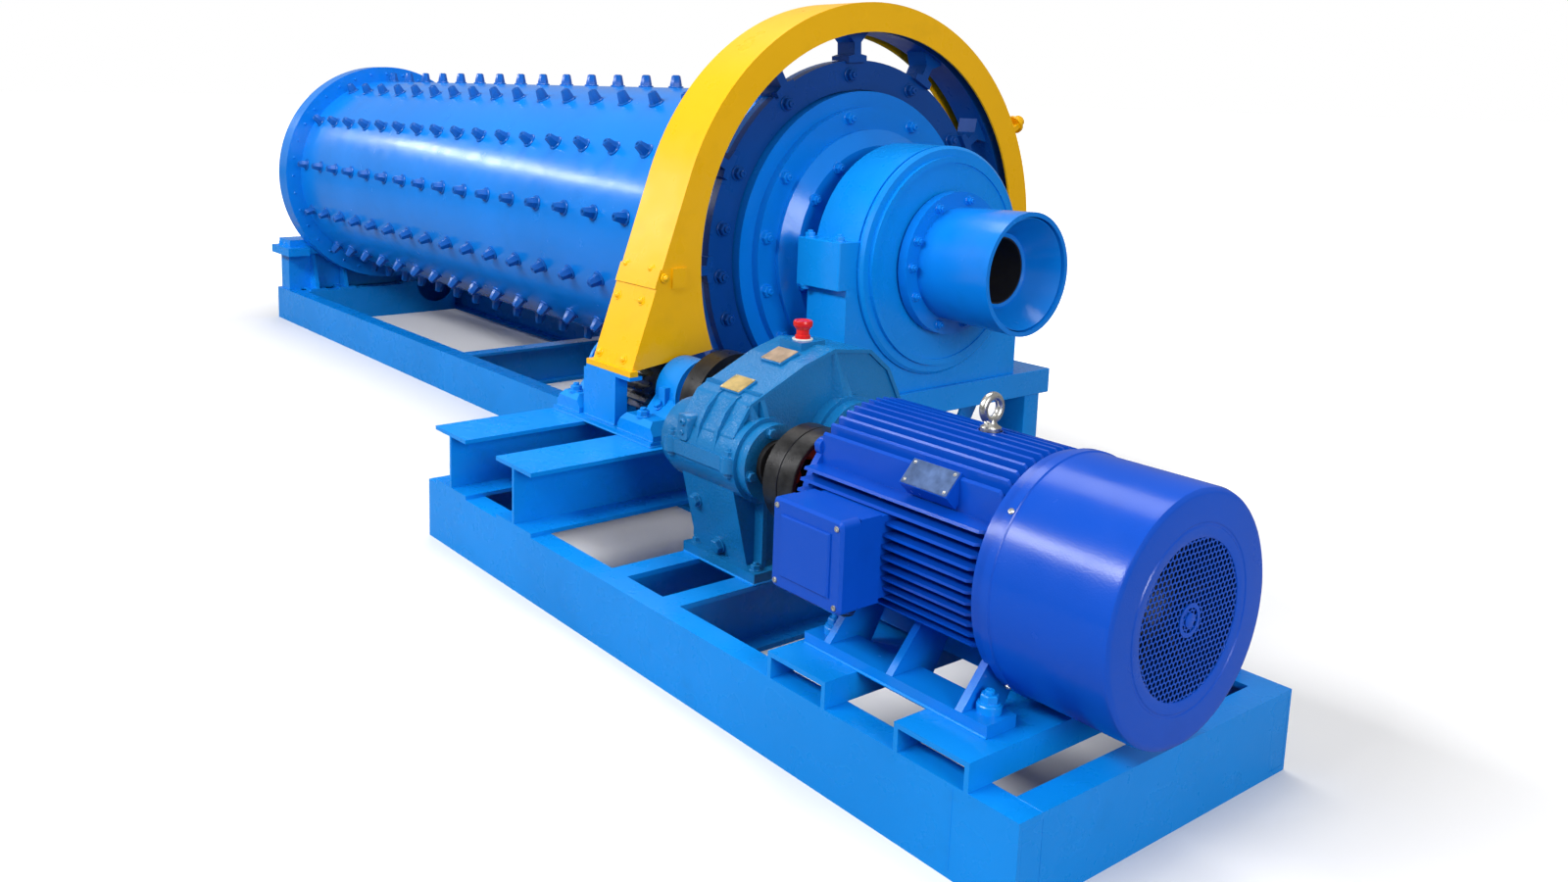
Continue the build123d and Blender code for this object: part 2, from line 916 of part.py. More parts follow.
# Discharge pedestal: stands, cross girder, cradle block and two columns
girder_top = pinion_beam_top + girder_height
girder_start = discharge_bearing_start + girder_start_inset
girder_end = discharge_bearing_end - girder_end_inset
pedestal_start = discharge_bearing_start + pedestal_start_inset
pedestal_end = discharge_bearing_end - pedestal_end_inset
column_inner_y = discharge_bearing_radius + column_gap
column_outer_y = column_inner_y + column_width
stand_end = girder_end - stand_inset
with BuildPart() as discharge_pedestal:
    block(
        (girder_start, girder_end),
        (-girder_half_length, girder_half_length),
        (pinion_beam_top, girder_top),
    )
    block(
        (pedestal_start, pedestal_end),
        (-column_inner_y, column_inner_y),
        (girder_top, pedestal_top),
    )
    for side in (-1, 1):
        low, high = sorted((side * column_inner_y, side * column_outer_y))
        block(
            (lug_start + column_inset, lug_end - column_inset),
            (low, high),
            (girder_top, mill_axis_height - lug_below),
        )
        low, high = sorted((side * mill_inner_y, side * mill_frame_half_width))
        block(
            (stand_end - stand_width, stand_end),
            (low, high),
            (frame_height, pinion_beam_top),
        )
    disc(
        (discharge_bearing_start - cut_overrun, discharge_bearing_end + cut_overrun),
        (0, mill_axis_height),
        discharge_bearing_radius + seat_gap,
        mode=Mode.SUBTRACT,
    )
save(discharge_pedestal.part, "discharge_pedestal", shell_end)

# Feed pedestal: box girder, notched top plate, leaning gussets and their feet
feed_girder_half = feed_plate_half_length - feed_girder_end_inset
flange_reach = feed_flange_radius + feed_flange_clearance
feed_notch_half = math.sqrt(flange_reach**2 - feed_bearing_drop**2)
with BuildPart() as feed_pedestal:
    block(
        (feed_girder_start, feed_girder_end),
        (-feed_girder_half, feed_girder_half),
        (frame_height, feed_plate_bottom),
    )
    block(
        (feed_plate_start, feed_plate_end),
        (-feed_plate_half_length, feed_plate_half_length),
        (feed_plate_bottom, feed_plate_top),
    )
    block(
        (feed_plate_middle_end, feed_plate_end + cut_overrun),
        (-feed_notch_half, feed_notch_half),
        (feed_plate_bottom - cut_overrun, feed_plate_top + cut_overrun),
        mode=Mode.SUBTRACT,
    )
    for share in feed_gusset_shares:
        place = share * feed_plate_half_length
        outline_along_y(
            (
                place - feed_gusset_thickness / 2,
                place + feed_gusset_thickness / 2,
            ),
            [
                (feed_girder_end, frame_height),
                (feed_girder_end + feed_gusset_foot, frame_height),
                (feed_girder_end + feed_gusset_head, feed_plate_bottom),
                (feed_girder_end, feed_plate_bottom),
            ],
        )
        block(
            (feed_girder_end, feed_girder_end + feed_gusset_foot + feed_foot_lip),
            (place - feed_foot_half, place + feed_foot_half),
            (frame_height, frame_height + feed_foot_thickness),
        )
save(feed_pedestal.part, "feed_pedestal")

feed_base_half = feed_plate_half_length - feed_base_inset
feed_base_top = feed_plate_top + feed_bearing_base_height
feed_neck_half = feed_bearing_radius - feed_bearing_neck_inset
feed_neck_z = mill_axis_height - feed_neck_half / 2
with BuildPart() as feed_bearing_housing:
    turned(
        [
            (feed_bearing_start, trunnion_radius),
            (feed_bearing_start, feed_bearing_radius - bearing_edge),
            (feed_bearing_start + bearing_edge, feed_bearing_radius),
            (feed_bearing_end - bearing_edge, feed_bearing_radius),
            (feed_bearing_end, feed_bearing_radius - bearing_edge),
            (feed_bearing_end, trunnion_radius),
        ],
        0,
        mill_axis_height,
    )
    outline_along_x(
        (feed_bearing_start, feed_bearing_end),
        [
            (-feed_base_half, feed_plate_top),
            (feed_base_half, feed_plate_top),
            (feed_base_half, feed_base_top),
            (feed_bearing_radius, feed_base_top),
            (feed_neck_half, feed_neck_z),
            (-feed_neck_half, feed_neck_z),
            (-feed_bearing_radius, feed_base_top),
            (-feed_base_half, feed_base_top),
        ],
    )
    disc(
        (feed_bearing_start - cut_overrun, feed_bearing_end + cut_overrun),
        (0, mill_axis_height),
        bearing_bore,
        mode=Mode.SUBTRACT,
    )
save(feed_bearing_housing.part, "feed_bearing_housing")

# Pinion base plate with the pit that the pinion and ring gear dip into
with BuildPart() as pinion_base_plate:
    block(
        (base_plate_start, base_plate_end),
        (base_plate_outer_y, base_plate_inner_y),
        (pinion_beam_top, base_plate_top),
    )
    block(
        (
            gear_start - pinion_overhang - pinion_pit_gap,
            gear_end + pinion_overhang + pinion_pit_gap / 2,
        ),
        (
            pinion_y - pinion_tip_radius - pinion_pit_side_gap,
            base_plate_inner_y + cut_overrun,
        ),
        (pinion_beam_top - cut_overrun, base_plate_top + cut_overrun),
        mode=Mode.SUBTRACT,
    )
save(pinion_base_plate.part, "pinion_base_plate", shell_end)

# Pinion bearings: lipped round housings with ribs, on wings and drafted feet
foot_top = base_plate_top + pinion_foot_height
foot_half = pinion_foot_half_width
lip_radius = pinion_bearing_height - pinion_lip_gap
for body_span, foot_span, cap_side, name in (
    ((rear_bearing_start, rear_bearing_end), rear_foot_span, -1, "pinion_rear_bearing"),
    ((front_bearing_start, front_bearing_end), front_foot_span, 1, "pinion_front_bearing"),
):
    face_x = body_span[1] if cap_side > 0 else body_span[0]
    rib_middle = (body_span[0] + body_span[1]) / 2
    with BuildPart() as pinion_bearing:
        outline_along_x(
            foot_span,
            [
                (pinion_y - foot_half, base_plate_top),
                (pinion_y + foot_half, base_plate_top),
                (pinion_y + foot_half, foot_top - pinion_foot_chamfer),
                (pinion_y + foot_half - pinion_foot_chamfer, foot_top),
                (pinion_y - foot_half + pinion_foot_chamfer, foot_top),
                (pinion_y - foot_half, foot_top - pinion_foot_chamfer),
            ],
        )
        outline_along_y(
            (pinion_y - foot_half, pinion_y + foot_half),
            [
                (foot_span[0], base_plate_top),
                (foot_span[1], base_plate_top),
                (foot_span[1], base_plate_top + pinion_foot_chamfer),
                (foot_span[1] - pinion_foot_draft, foot_top),
                (foot_span[0] + pinion_foot_draft, foot_top),
                (foot_span[0], base_plate_top + pinion_foot_chamfer),
            ],
            mode=Mode.INTERSECT,
        )
        outline_along_x(
            body_span,
            [
                (pinion_y - pinion_wing_half_width, foot_top - pinion_foot_chamfer),
                (pinion_y + pinion_wing_half_width, foot_top - pinion_foot_chamfer),
                (pinion_y + pinion_wing_half_width, foot_top),
                (pinion_y + pinion_bearing_radius, foot_top + pinion_wing_rise),
                (pinion_y + pinion_bearing_radius, drive_height),
                (pinion_y - pinion_bearing_radius, drive_height),
                (pinion_y - pinion_bearing_radius, foot_top + pinion_wing_rise),
                (pinion_y - pinion_wing_half_width, foot_top),
            ],
        )
        disc(body_span, (pinion_y, drive_height), pinion_bearing_radius)
        disc(
            sorted((face_x, face_x - cap_side * pinion_lip_thickness)),
            (pinion_y, drive_height),
            lip_radius,
        )
        disc(
            sorted((face_x, face_x + cap_side * pinion_cap_thickness)),
            (pinion_y, drive_height),
            pinion_cap_radius,
        )
        for side in (-1, 1):
            rib_y = pinion_y + side * (pinion_bearing_radius + pinion_rib_width)
            low, high = sorted((rib_y, pinion_y))
            block(
                (
                    rib_middle - pinion_rib_thickness / 2,
                    rib_middle + pinion_rib_thickness / 2,
                ),
                (low, high),
                (foot_top, drive_height + pinion_rib_rise),
            )
        disc(
            (foot_span[0] - gear_width, foot_span[1] + gear_width),
            (pinion_y, drive_height),
            pinion_shaft_radius + running_gap,
            mode=Mode.SUBTRACT,
        )
    save(pinion_bearing.part, name, shell_end)

# Pinion cut in one piece with its shaft
with BuildPart() as pinion:
    outline_along_x(
        (gear_start - pinion_overhang, gear_end + pinion_overhang),
        gear_corners(
            pinion_teeth,
            mesh_angle + 180 + 180 / pinion_teeth,
            (pinion_y, drive_height),
        ),
    )
    disc(
        (rear_bearing_start - pinion_cap_thickness, output_coupling_start),
        (pinion_y, drive_height),
        pinion_shaft_radius,
    )
save(pinion.part, "pinion", shell_end)


# Gear guard: its leg leaves the hood in a tangent and stands on the post
guard_outer_radius = ring_tip_radius + guard_tooth_gap + guard_sheet
guard_inner_radius = ring_rim_inner - guard_rim_lap
guard_foot_y = -guard_outer_radius - guard_foot_reach
guard_foot_z = mill_axis_height - guard_foot_drop
guard_left_split_z = mill_axis_height - guard_left_split_drop
foot_offset = (guard_foot_y, -guard_foot_drop)
foot_distance = math.hypot(*foot_offset)
foot_angle = 360 + math.degrees(math.atan2(foot_offset[1], foot_offset[0]))
touch_angle = foot_angle - math.degrees(math.acos(guard_outer_radius / foot_distance))
touch_point = (
    guard_outer_radius * math.cos(math.radians(touch_angle)),
    mill_axis_height + guard_outer_radius * math.sin(math.radians(touch_angle)),
)
leg_inward = (
    math.cos(math.radians(touch_angle + 180)),
    math.sin(math.radians(touch_angle + 180)),
)
leg_down = (leg_inward[1], -leg_inward[0])
seam_share = (touch_point[1] - guard_left_split_z) / (touch_point[1] - guard_foot_z)
seam_y = touch_point[0] + seam_share * (guard_foot_y - touch_point[0])


def hood_point(radius, angle):
    """Point at a radius and an angle in degrees about the mill axis."""
    return (
        radius * math.cos(math.radians(angle)),
        mill_axis_height + radius * math.sin(math.radians(angle)),
    )


def leg_point(down, out):
    """Point beside the leg's strip, from its seam: along the leg and outward."""
    return (
        seam_y + down * leg_down[0] - out * leg_inward[0],
        guard_left_split_z + down * leg_down[1] - out * leg_inward[1],
    )


def split_point(out, across):
    """Point at the right split: a radius, and a distance above the split."""
    cosine = math.cos(math.radians(guard_right_split_angle))
    sine = math.sin(math.radians(guard_right_split_angle))
    return (
        out * cosine - across * sine,
        mill_axis_height + out * sine + across * cosine,
    )


foot = (guard_foot_y, guard_foot_z)
foot_inner = (
    guard_foot_y + guard_leg_width,
    mill_axis_height - guard_foot_inner_drop,
)
cavity_radius = guard_outer_radius - guard_sheet
cavity_foot = (
    guard_foot_y + guard_sheet * leg_inward[0],
    guard_foot_z + guard_sheet * leg_inward[1],
)
cavity_floor = guard_foot_z - guard_tab_length


def guard_piece():
    """Whole guard: two side sheets joined by the outer strip."""
    with BuildPart() as whole:
        with BuildSketch(Plane.YZ.offset(guard_start)):
            with BuildLine():
                start_outer = hood_point(guard_outer_radius, guard_right_end_angle)
                middle_angle = (guard_right_end_angle + touch_angle) / 2
                ThreePointArc(
                    start_outer,
                    hood_point(guard_outer_radius, middle_angle),
                    touch_point,
                )
                inner_angle = 360 + math.degrees(
                    math.atan2(foot_inner[1] - mill_axis_height, foot_inner[0])
                )
                start_inner = hood_point(guard_inner_radius, guard_right_end_angle)
                end_inner = hood_point(guard_inner_radius, inner_angle)
                Polyline(touch_point, foot, foot_inner, end_inner)
                middle_angle = (guard_right_end_angle + inner_angle) / 2
                ThreePointArc(
                    end_inner, hood_point(guard_inner_radius, middle_angle), start_inner
                )
                Line(start_inner, start_outer)
            make_face()
        extrude(amount=guard_end - guard_start)
        with BuildSketch(Plane.YZ.offset(guard_start + guard_sheet)):
            with BuildLine():
                hollow_angle = guard_right_end_angle - guard_open_angle
                hollow_start = hood_point(cavity_radius, hollow_angle)
                hollow_end = hood_point(cavity_radius, touch_angle)
                middle_angle = (hollow_angle + touch_angle) / 2
                ThreePointArc(
                    hollow_start, hood_point(cavity_radius, middle_angle), hollow_end
                )
                Polyline(
                    hollow_end,
                    cavity_foot,
                    (cavity_foot[0], cavity_floor),
                    (0, cavity_floor),
                    (0, mill_axis_height),
                    hollow_start,
                )
            make_face()
        extrude(amount=guard_end - guard_start - 2 * guard_sheet, mode=Mode.SUBTRACT)
    return whole.part


guard_whole = guard_piece()
far_out = 2 * guard_outer_radius
guard_x = (guard_start - guard_tab_length, guard_end + guard_tab_length)
guard_tab_x = (guard_end - guard_tab_width - guard_sheet, guard_end - guard_sheet)
tab_outer = guard_outer_radius + guard_tab_length
tab_inner = guard_outer_radius - guard_sheet / 2

# Guard over the ring gear, in three bolted pieces
with BuildPart() as gear_guard_left_leg:
    add(guard_whole)
    block(guard_x, (-far_out, 0), (0, guard_left_split_z), mode=Mode.INTERSECT)
    block(
        (guard_start - guard_foot_flange_reach, guard_end + guard_foot_flange_reach),
        (
            guard_foot_y - guard_foot_flange_reach,
            guard_foot_y + guard_foot_flange_reach,
        ),
        (
            guard_foot_z - guard_foot_flange_thickness,
            guard_foot_z + guard_foot_flange_lap,
        ),
    )
save(gear_guard_left_leg.part, "gear_guard_left_leg", shell_end)

with BuildPart() as gear_guard_right_leg:
    add(guard_whole)
    with BuildSketch(Plane.YZ.offset(guard_x[0])):
        with BuildLine():
            Polyline(
                (0, mill_axis_height),
                hood_point(far_out, guard_right_split_angle),
                (far_out, 0),
                (0, 0),
                close=True,
            )
        make_face()
    extrude(amount=guard_x[1] - guard_x[0], mode=Mode.INTERSECT)
    outline_along_x(
        guard_tab_x,
        [
            split_point(tab_inner, -seat_gap),
            split_point(tab_outer, -seat_gap),
            split_point(tab_outer, -guard_tab_thickness),
            split_point(tab_inner, -guard_tab_thickness),
        ],
    )
save(gear_guard_right_leg.part, "gear_guard_right_leg", shell_end)

with BuildPart() as gear_guard_upper:
    add(guard_whole)
    with BuildSketch(Plane.YZ.offset(guard_x[0])):
        with BuildLine():
            Polyline(
                (0, guard_left_split_z),
                (0, mill_axis_height),
                hood_point(far_out, guard_right_split_angle),
                (far_out, far_out + mill_axis_height),
                (-far_out, far_out + mill_axis_height),
                (-far_out, guard_left_split_z),
                close=True,
            )
        make_face()
    extrude(amount=guard_x[1] - guard_x[0], mode=Mode.INTERSECT)
    outline_along_x(
        guard_tab_x,
        [
            split_point(tab_inner, 0),
            split_point(tab_outer, 0),
            split_point(tab_outer, guard_tab_thickness),
            split_point(tab_inner, guard_tab_thickness),
        ],
    )
    outline_along_x(
        (guard_start, guard_end),
        [
            leg_point(-guard_lip_above, -guard_sheet / 2),
            leg_point(-guard_lip_above, guard_lip_thickness),
            leg_point(guard_lip_below, guard_lip_thickness),
            leg_point(guard_lip_below, seat_gap),
            leg_point(0, seat_gap),
            leg_point(-guard_sheet, -guard_sheet / 2),
        ],
    )
    tab_y = (seam_y + guard_tab_inset, seam_y + guard_tab_inset + guard_tab_width)
    block(
        (guard_end, guard_end + guard_sheet),
        tab_y,
        (guard_left_split_z, guard_left_split_z + guard_lip_above),
    )
    block(
        (guard_end + seat_gap, guard_end + guard_sheet),
        tab_y,
        (guard_left_split_z - guard_lip_below, guard_left_split_z),
    )
save(gear_guard_upper.part, "gear_guard_upper", shell_end)

# Post under the guard's left foot
post_start = guard_start - post_lead
post_outer_y = guard_foot_y - post_outer_reach
post_inner_y = post_outer_y + post_depth
post_top = guard_foot_z - guard_foot_flange_thickness
with BuildPart() as guard_post:
    block(
        (post_start, post_start + post_length),
        (post_outer_y, post_inner_y),
        (base_plate_top, post_top - post_head_thickness),
    )
    block(
        (guard_start - guard_foot_flange_reach, guard_end + guard_foot_flange_reach),
        (post_outer_y, post_inner_y),
        (post_top - post_head_thickness, post_top),
    )
save(guard_post.part, "guard_post", shell_end)

# Two uprights on the right mill beam hold the guard's right end
right_end_outer = hood_point(guard_outer_radius, guard_right_end_angle)
right_end_inner = hood_point(guard_inner_radius, guard_right_end_angle)
with BuildPart() as guard_right_stand:
    block(
        (guard_start - stand_wall, guard_end + stand_wall),
        (mill_inner_y, mill_frame_half_width),
        (frame_height, frame_height + stand_wall),
    )
    for start in (guard_start - stand_wall, guard_end):
        outline_along_x(
            (start, start + stand_wall),
            [
                (mill_inner_y, frame_height),
                (mill_frame_half_width, frame_height),
                (right_end_outer[0], right_end_outer[1]),
                (right_end_outer[0], right_end_inner[1] + stand_lap),
                (right_end_inner[0], right_end_inner[1] + stand_lap),
            ],
        )
save(guard_right_stand.part, "guard_right_stand", shell_end)

# Gearbox
gearbox_left_y = motor_y - gearbox_left_reach
gearbox_right_y = pinion_y + gearbox_right_reach
gearbox_length = gearbox_right_y - gearbox_left_y
gearbox_middle = (gearbox_start + gearbox_end) / 2
gearbox_case = (
    gearbox_start + gearbox_case_insets[0],
    gearbox_end - gearbox_case_insets[1],
)
gearbox_foot_top = frame_height + gearbox_foot_height
split_bottom = drive_height - gearbox_flange_half
split_top = drive_height + gearbox_flange_half
output_bore = output_shaft_radius + running_gap
input_bore = input_shaft_radius + running_gap
output_shaft_end = gearbox_case[0] + gear_cap_thickness
output_bore_end = output_shaft_end + coupling_gap + cut_overrun
input_shaft_end = gearbox_case[1] - gear_cap_thickness
input_bore_end = input_shaft_end - coupling_gap - cut_overrun
gearbox_bearings = (
    (input_shaft_y, input_cap_radius + gear_boss_margin),
    (pinion_y, output_cap_radius + gear_boss_margin),
)


def split_flange(bottom):
    """Flange of the split, with a round ear at each bolt."""
    core_x = gearbox_width - 2 * gearbox_flange_inset
    core_y = gearbox_length - 2 * gearbox_flange_inset
    with BuildSketch(Plane.XY.offset(bottom)) as profile:
        with Locations((gearbox_middle, (gearbox_left_y + gearbox_right_y) / 2)):
            RectangleRounded(core_x, core_y, gearbox_flange_corner)
        for share in gearbox_ear_shares:
            ear_y = gearbox_left_y + share * gearbox_length
            with Locations(
                (gearbox_start + gearbox_ear_radius, ear_y),
                (gearbox_end - gearbox_ear_radius, ear_y),
            ):
                Circle(gearbox_ear_radius)
    extrude(profile.sketch, amount=gearbox_flange_half)


def bearing_bosses(bottom, top):
    """Half of the round bearing bosses on both faces, between two heights."""
    half_length = far_out
    for boss_y, boss_radius in gearbox_bearings:
        with BuildSketch(Plane.YZ.offset(gearbox_start)) as profile:
            with Locations((boss_y, drive_height)):
                Circle(boss_radius)
            with Locations((boss_y, (bottom + top) / 2)):
                Rectangle(half_length, top - bottom, mode=Mode.INTERSECT)
        extrude(profile.sketch, amount=gearbox_width)


def shaft_bores():
    """Blind bores for the input and output shafts."""
    disc(
        (gearbox_start - cut_overrun, output_bore_end),
        (pinion_y, drive_height),
        output_bore,
        mode=Mode.SUBTRACT,
    )
    disc(
        (input_bore_end, gearbox_end + cut_overrun),
        (input_shaft_y, drive_height),
        input_bore,
        mode=Mode.SUBTRACT,
    )


# Lower case: split flange, half bosses, tapered body with ribs and foot plate
foot_left_y = motor_y - gearbox_foot_left_inset
foot_right_y = pinion_y + gearbox_foot_right_reach
with BuildPart() as gearbox_lower_case:
    outline_along_x(
        gearbox_case,
        [
            (gearbox_left_y + gearbox_leg_inset, split_bottom),
            (foot_left_y + gearbox_leg_foot_inset, gearbox_foot_top),
            (foot_right_y - gearbox_leg_foot_inset, gearbox_foot_top),
            (gearbox_right_y - gearbox_leg_inset, split_bottom),
        ],
    )
    split_flange(split_bottom)
    bearing_bosses(gearbox_foot_top, drive_height)
    for rib_y, _ in gearbox_bearings:
        outline_along_y(
            (rib_y - gearbox_rib_thickness / 2, rib_y + gearbox_rib_thickness / 2),
            [
                (gearbox_start, gearbox_foot_top),
                (gearbox_end, gearbox_foot_top),
                (gearbox_end, split_bottom),
                (gearbox_start, split_bottom),
            ],
        )
    block(
        (gearbox_foot_start, gearbox_foot_end),
        (foot_left_y, foot_right_y),
        (frame_height, gearbox_foot_top),
    )
    shaft_bores()
save(gearbox_lower_case.part, "gearbox_lower_case", shell_end)

# Upper case: split flange, half bosses with ribs above them, and sloped hood
hood_top = drive_height + hood_height
breather_y = gearbox_left_y + breather_share * gearbox_length
hood_corners = [
    (gearbox_left_y + across * gearbox_length, drive_height + up * hood_height)
    for across, up in zip(hood_length_shares, hood_height_shares)
]
with BuildPart() as gearbox_upper_case:
    with BuildSketch(Plane.YZ.offset(gearbox_case[0])) as hood:
        with BuildLine():
            Polyline(
                (hood_corners[0][0], drive_height),
                *hood_corners,
                (hood_corners[-1][0], drive_height),
                close=True,
            )
        make_face()
        fillet(hood.vertices().group_by(Axis.Y)[1:], hood_corner_radius)
    extrude(amount=gearbox_case[1] - gearbox_case[0])
    split_flange(drive_height)
    bearing_bosses(drive_height, hood_top)
    for rib_y, boss_radius in gearbox_bearings:
        rib_foot = drive_height + boss_radius - gear_boss_margin
        rib_head = rib_foot + gearbox_rib_height_share * (hood_top - rib_foot)
        outline_along_y(
            (rib_y - gearbox_rib_thickness / 2, rib_y + gearbox_rib_thickness / 2),
            [
                (gearbox_start, rib_foot),
                (gearbox_end, rib_foot),
                (gearbox_case[1], rib_head),
                (gearbox_case[0], rib_head),
            ],
        )
    block(
        (gearbox_middle - breather_pad_half, gearbox_middle + breather_pad_half),
        (breather_y - breather_pad_half, breather_y + breather_pad_half),
        (split_top, hood_top + breather_pad_rise),
    )
    shaft_bores()
save(gearbox_upper_case.part, "gearbox_upper_case", shell_end)

# Gearbox bearing caps on both faces
with BuildPart() as gearbox_bearing_caps:
    for cap_y, cap_radius, front_bore, rear_bore in (
        (input_shaft_y, input_cap_radius, input_bore, 0),
        (pinion_y, output_cap_radius, 0, output_bore),
    ):
        disc(
            (gearbox_end, gearbox_end + gear_cap_thickness),
            (cap_y, drive_height),
            cap_radius,
            front_bore,
        )
        disc(
            (gearbox_start - gear_cap_thickness, gearbox_start),
            (cap_y, drive_height),
            cap_radius,
            rear_bore,
        )
save(gearbox_bearing_caps.part, "gearbox_bearing_caps", shell_end)

breather_base = hood_top + breather_pad_rise
with BuildPart() as gearbox_breather:
    with Locations((gearbox_middle, breather_y, breather_base)):
        Cylinder(
            breather_stem_radius,
            breather_stem_height,
            align=(Align.CENTER, Align.CENTER, Align.MIN),
        )
    with Locations((gearbox_middle, breather_y, breather_base + breather_stem_height)):
        Cylinder(
            breather_radius,
            breather_cap_height,
            align=(Align.CENTER, Align.CENTER, Align.MIN),
        )
    chamfer(
        gearbox_breather.edges().filter_by(GeomType.CIRCLE).sort_by(Axis.Z)[-1],
        breather_edge,
    )
save(gearbox_breather.part, "gearbox_breather", shell_end)

# Output coupling: dished rim and hubs, with the gearbox output shaft in one solid
output_hub = output_coupling_radius * coupling_hub_share
output_dish = output_coupling_radius * coupling_dish_share
with BuildPart() as output_coupling:
    turned(
        [
            (output_hub_start, pinion_shaft_radius + seat_gap),
            (output_hub_start, output_hub),
            (output_coupling_start + output_dish_depth, output_hub),
            (output_coupling_start + output_dish_depth, output_dish),
            (output_coupling_start, output_dish),
            (output_coupling_start, output_coupling_radius),
            (output_coupling_end, output_coupling_radius),
            (output_coupling_end, output_dish),
            (output_coupling_end - output_dish_depth, output_dish),
            (output_coupling_end - output_dish_depth, output_hub),
            (output_hub_end, output_hub),
            (output_hub_end, output_shaft_radius),
            (output_shaft_end, output_shaft_radius),
            (output_shaft_end, 0),
            (output_coupling_start + seat_gap, 0),
            (output_coupling_start + seat_gap, pinion_shaft_radius + seat_gap),
        ],
        pinion_y,
        drive_height,
    )
save(output_coupling.part, "output_coupling", shell_end)

# Motor coupling: two dished halves, with the gearbox input shaft in the same solid
motor_hub = motor_coupling_radius * coupling_hub_share
motor_dish = motor_coupling_radius * coupling_dish_share
groove_start = motor_coupling_start + motor_coupling_rim
groove_end = groove_start + coupling_gap
with BuildPart() as motor_coupling:
    turned(
        [
            (input_shaft_end, 0),
            (input_shaft_end, input_shaft_radius),
            (motor_coupling_hub_start, input_shaft_radius),
            (motor_coupling_hub_start, motor_hub),
            (motor_coupling_start + motor_dish_depth, motor_hub),
            (motor_coupling_start + motor_dish_depth, motor_dish),
            (motor_coupling_start, motor_dish),
            (motor_coupling_start, motor_coupling_radius),
            (groove_start, motor_coupling_radius),
            (groove_start, motor_dish),
            (groove_end, motor_dish),
            (groove_end, motor_coupling_radius),
            (motor_coupling_end, motor_coupling_radius),
            (motor_coupling_end, motor_dish),
            (motor_coupling_end - motor_dish_depth, motor_dish),
            (motor_coupling_end - motor_dish_depth, motor_hub),
            (motor_coupling_hub_end, motor_hub),
            (motor_coupling_hub_end, 0),
        ],
        motor_y,
        drive_height,
    )
save(motor_coupling.part, "motor_coupling", shell_end)

# Motor shaft up to the fan
fan_end = cowl_end - fan_inset
fan_start = fan_end - fan_width
with BuildPart() as motor_shaft:
    disc(
        (motor_coupling_hub_end, fan_end),
        (motor_y, drive_height),
        motor_shaft_radius,
    )
save(motor_shaft.part, "motor_shaft", shell_end)

cowl_radius = motor_fin_radius + cowl_rise
fan_radius = cowl_radius - fan_tip_gap
with BuildPart() as cooling_fan:
    disc(
        (fan_start, fan_end),
        (motor_y, drive_height),
        fan_hub_radius,
        motor_shaft_radius + seat_gap,
    )
    disc(
        (fan_start, fan_start + fan_blade_thickness),
        (motor_y, drive_height),
        fan_radius,
        motor_shaft_radius + seat_gap,
    )
    for blade in range(fan_blades):
        turn = 360 * blade / fan_blades
        blade_plane = Plane(
            origin=(fan_start, motor_y, drive_height),
            x_dir=(0, math.cos(math.radians(turn)), math.sin(math.radians(turn))),
            z_dir=(1, 0, 0),
        )
        with BuildSketch(blade_plane):
            with Locations((fan_hub_radius - fan_blade_thickness, 0)):
                Rectangle(
                    fan_radius - fan_hub_radius,
                    fan_blade_thickness,
                    align=(Align.MIN, Align.CENTER),
                )
        extrude(amount=fan_end - fan_start)
save(cooling_fan.part, "cooling_fan", shell_end)

# Finned motor frame with its feet, box neck, name plate pad and lifting boss
motor_bore = motor_shaft_radius + running_gap
motor_body_radius = motor_fin_radius - motor_fin_depth
motor_foot_top = support_top + motor_foot_thickness
motor_web_top = drive_height - motor_web_drop
fin_envelope = motor_fin_radius + cut_overrun
box_start = motor_foot_start - box_lead
box_end = box_start + box_length
box_neck_y = motor_y - motor_fin_radius - box_neck_gap
box_bottom = drive_height - box_below
box_top = drive_height + box_above
neck_x = (box_start + box_neck_inset, box_end - box_neck_inset)
neck_z = (box_bottom + box_neck_inset, box_top - box_neck_inset)
eye_bolt_x = box_end + eye_bolt_gap
pad_plane = Plane(
    origin=(motor_shield_end + name_pad_share * motor_fin_length, motor_y, drive_height),
    x_dir=(1, 0, 0),
    z_dir=(
        0,
        math.cos(math.radians(name_pad_angle)),
        math.sin(math.radians(name_pad_angle)),
    ),
).offset(motor_fin_radius - name_pad_sink)
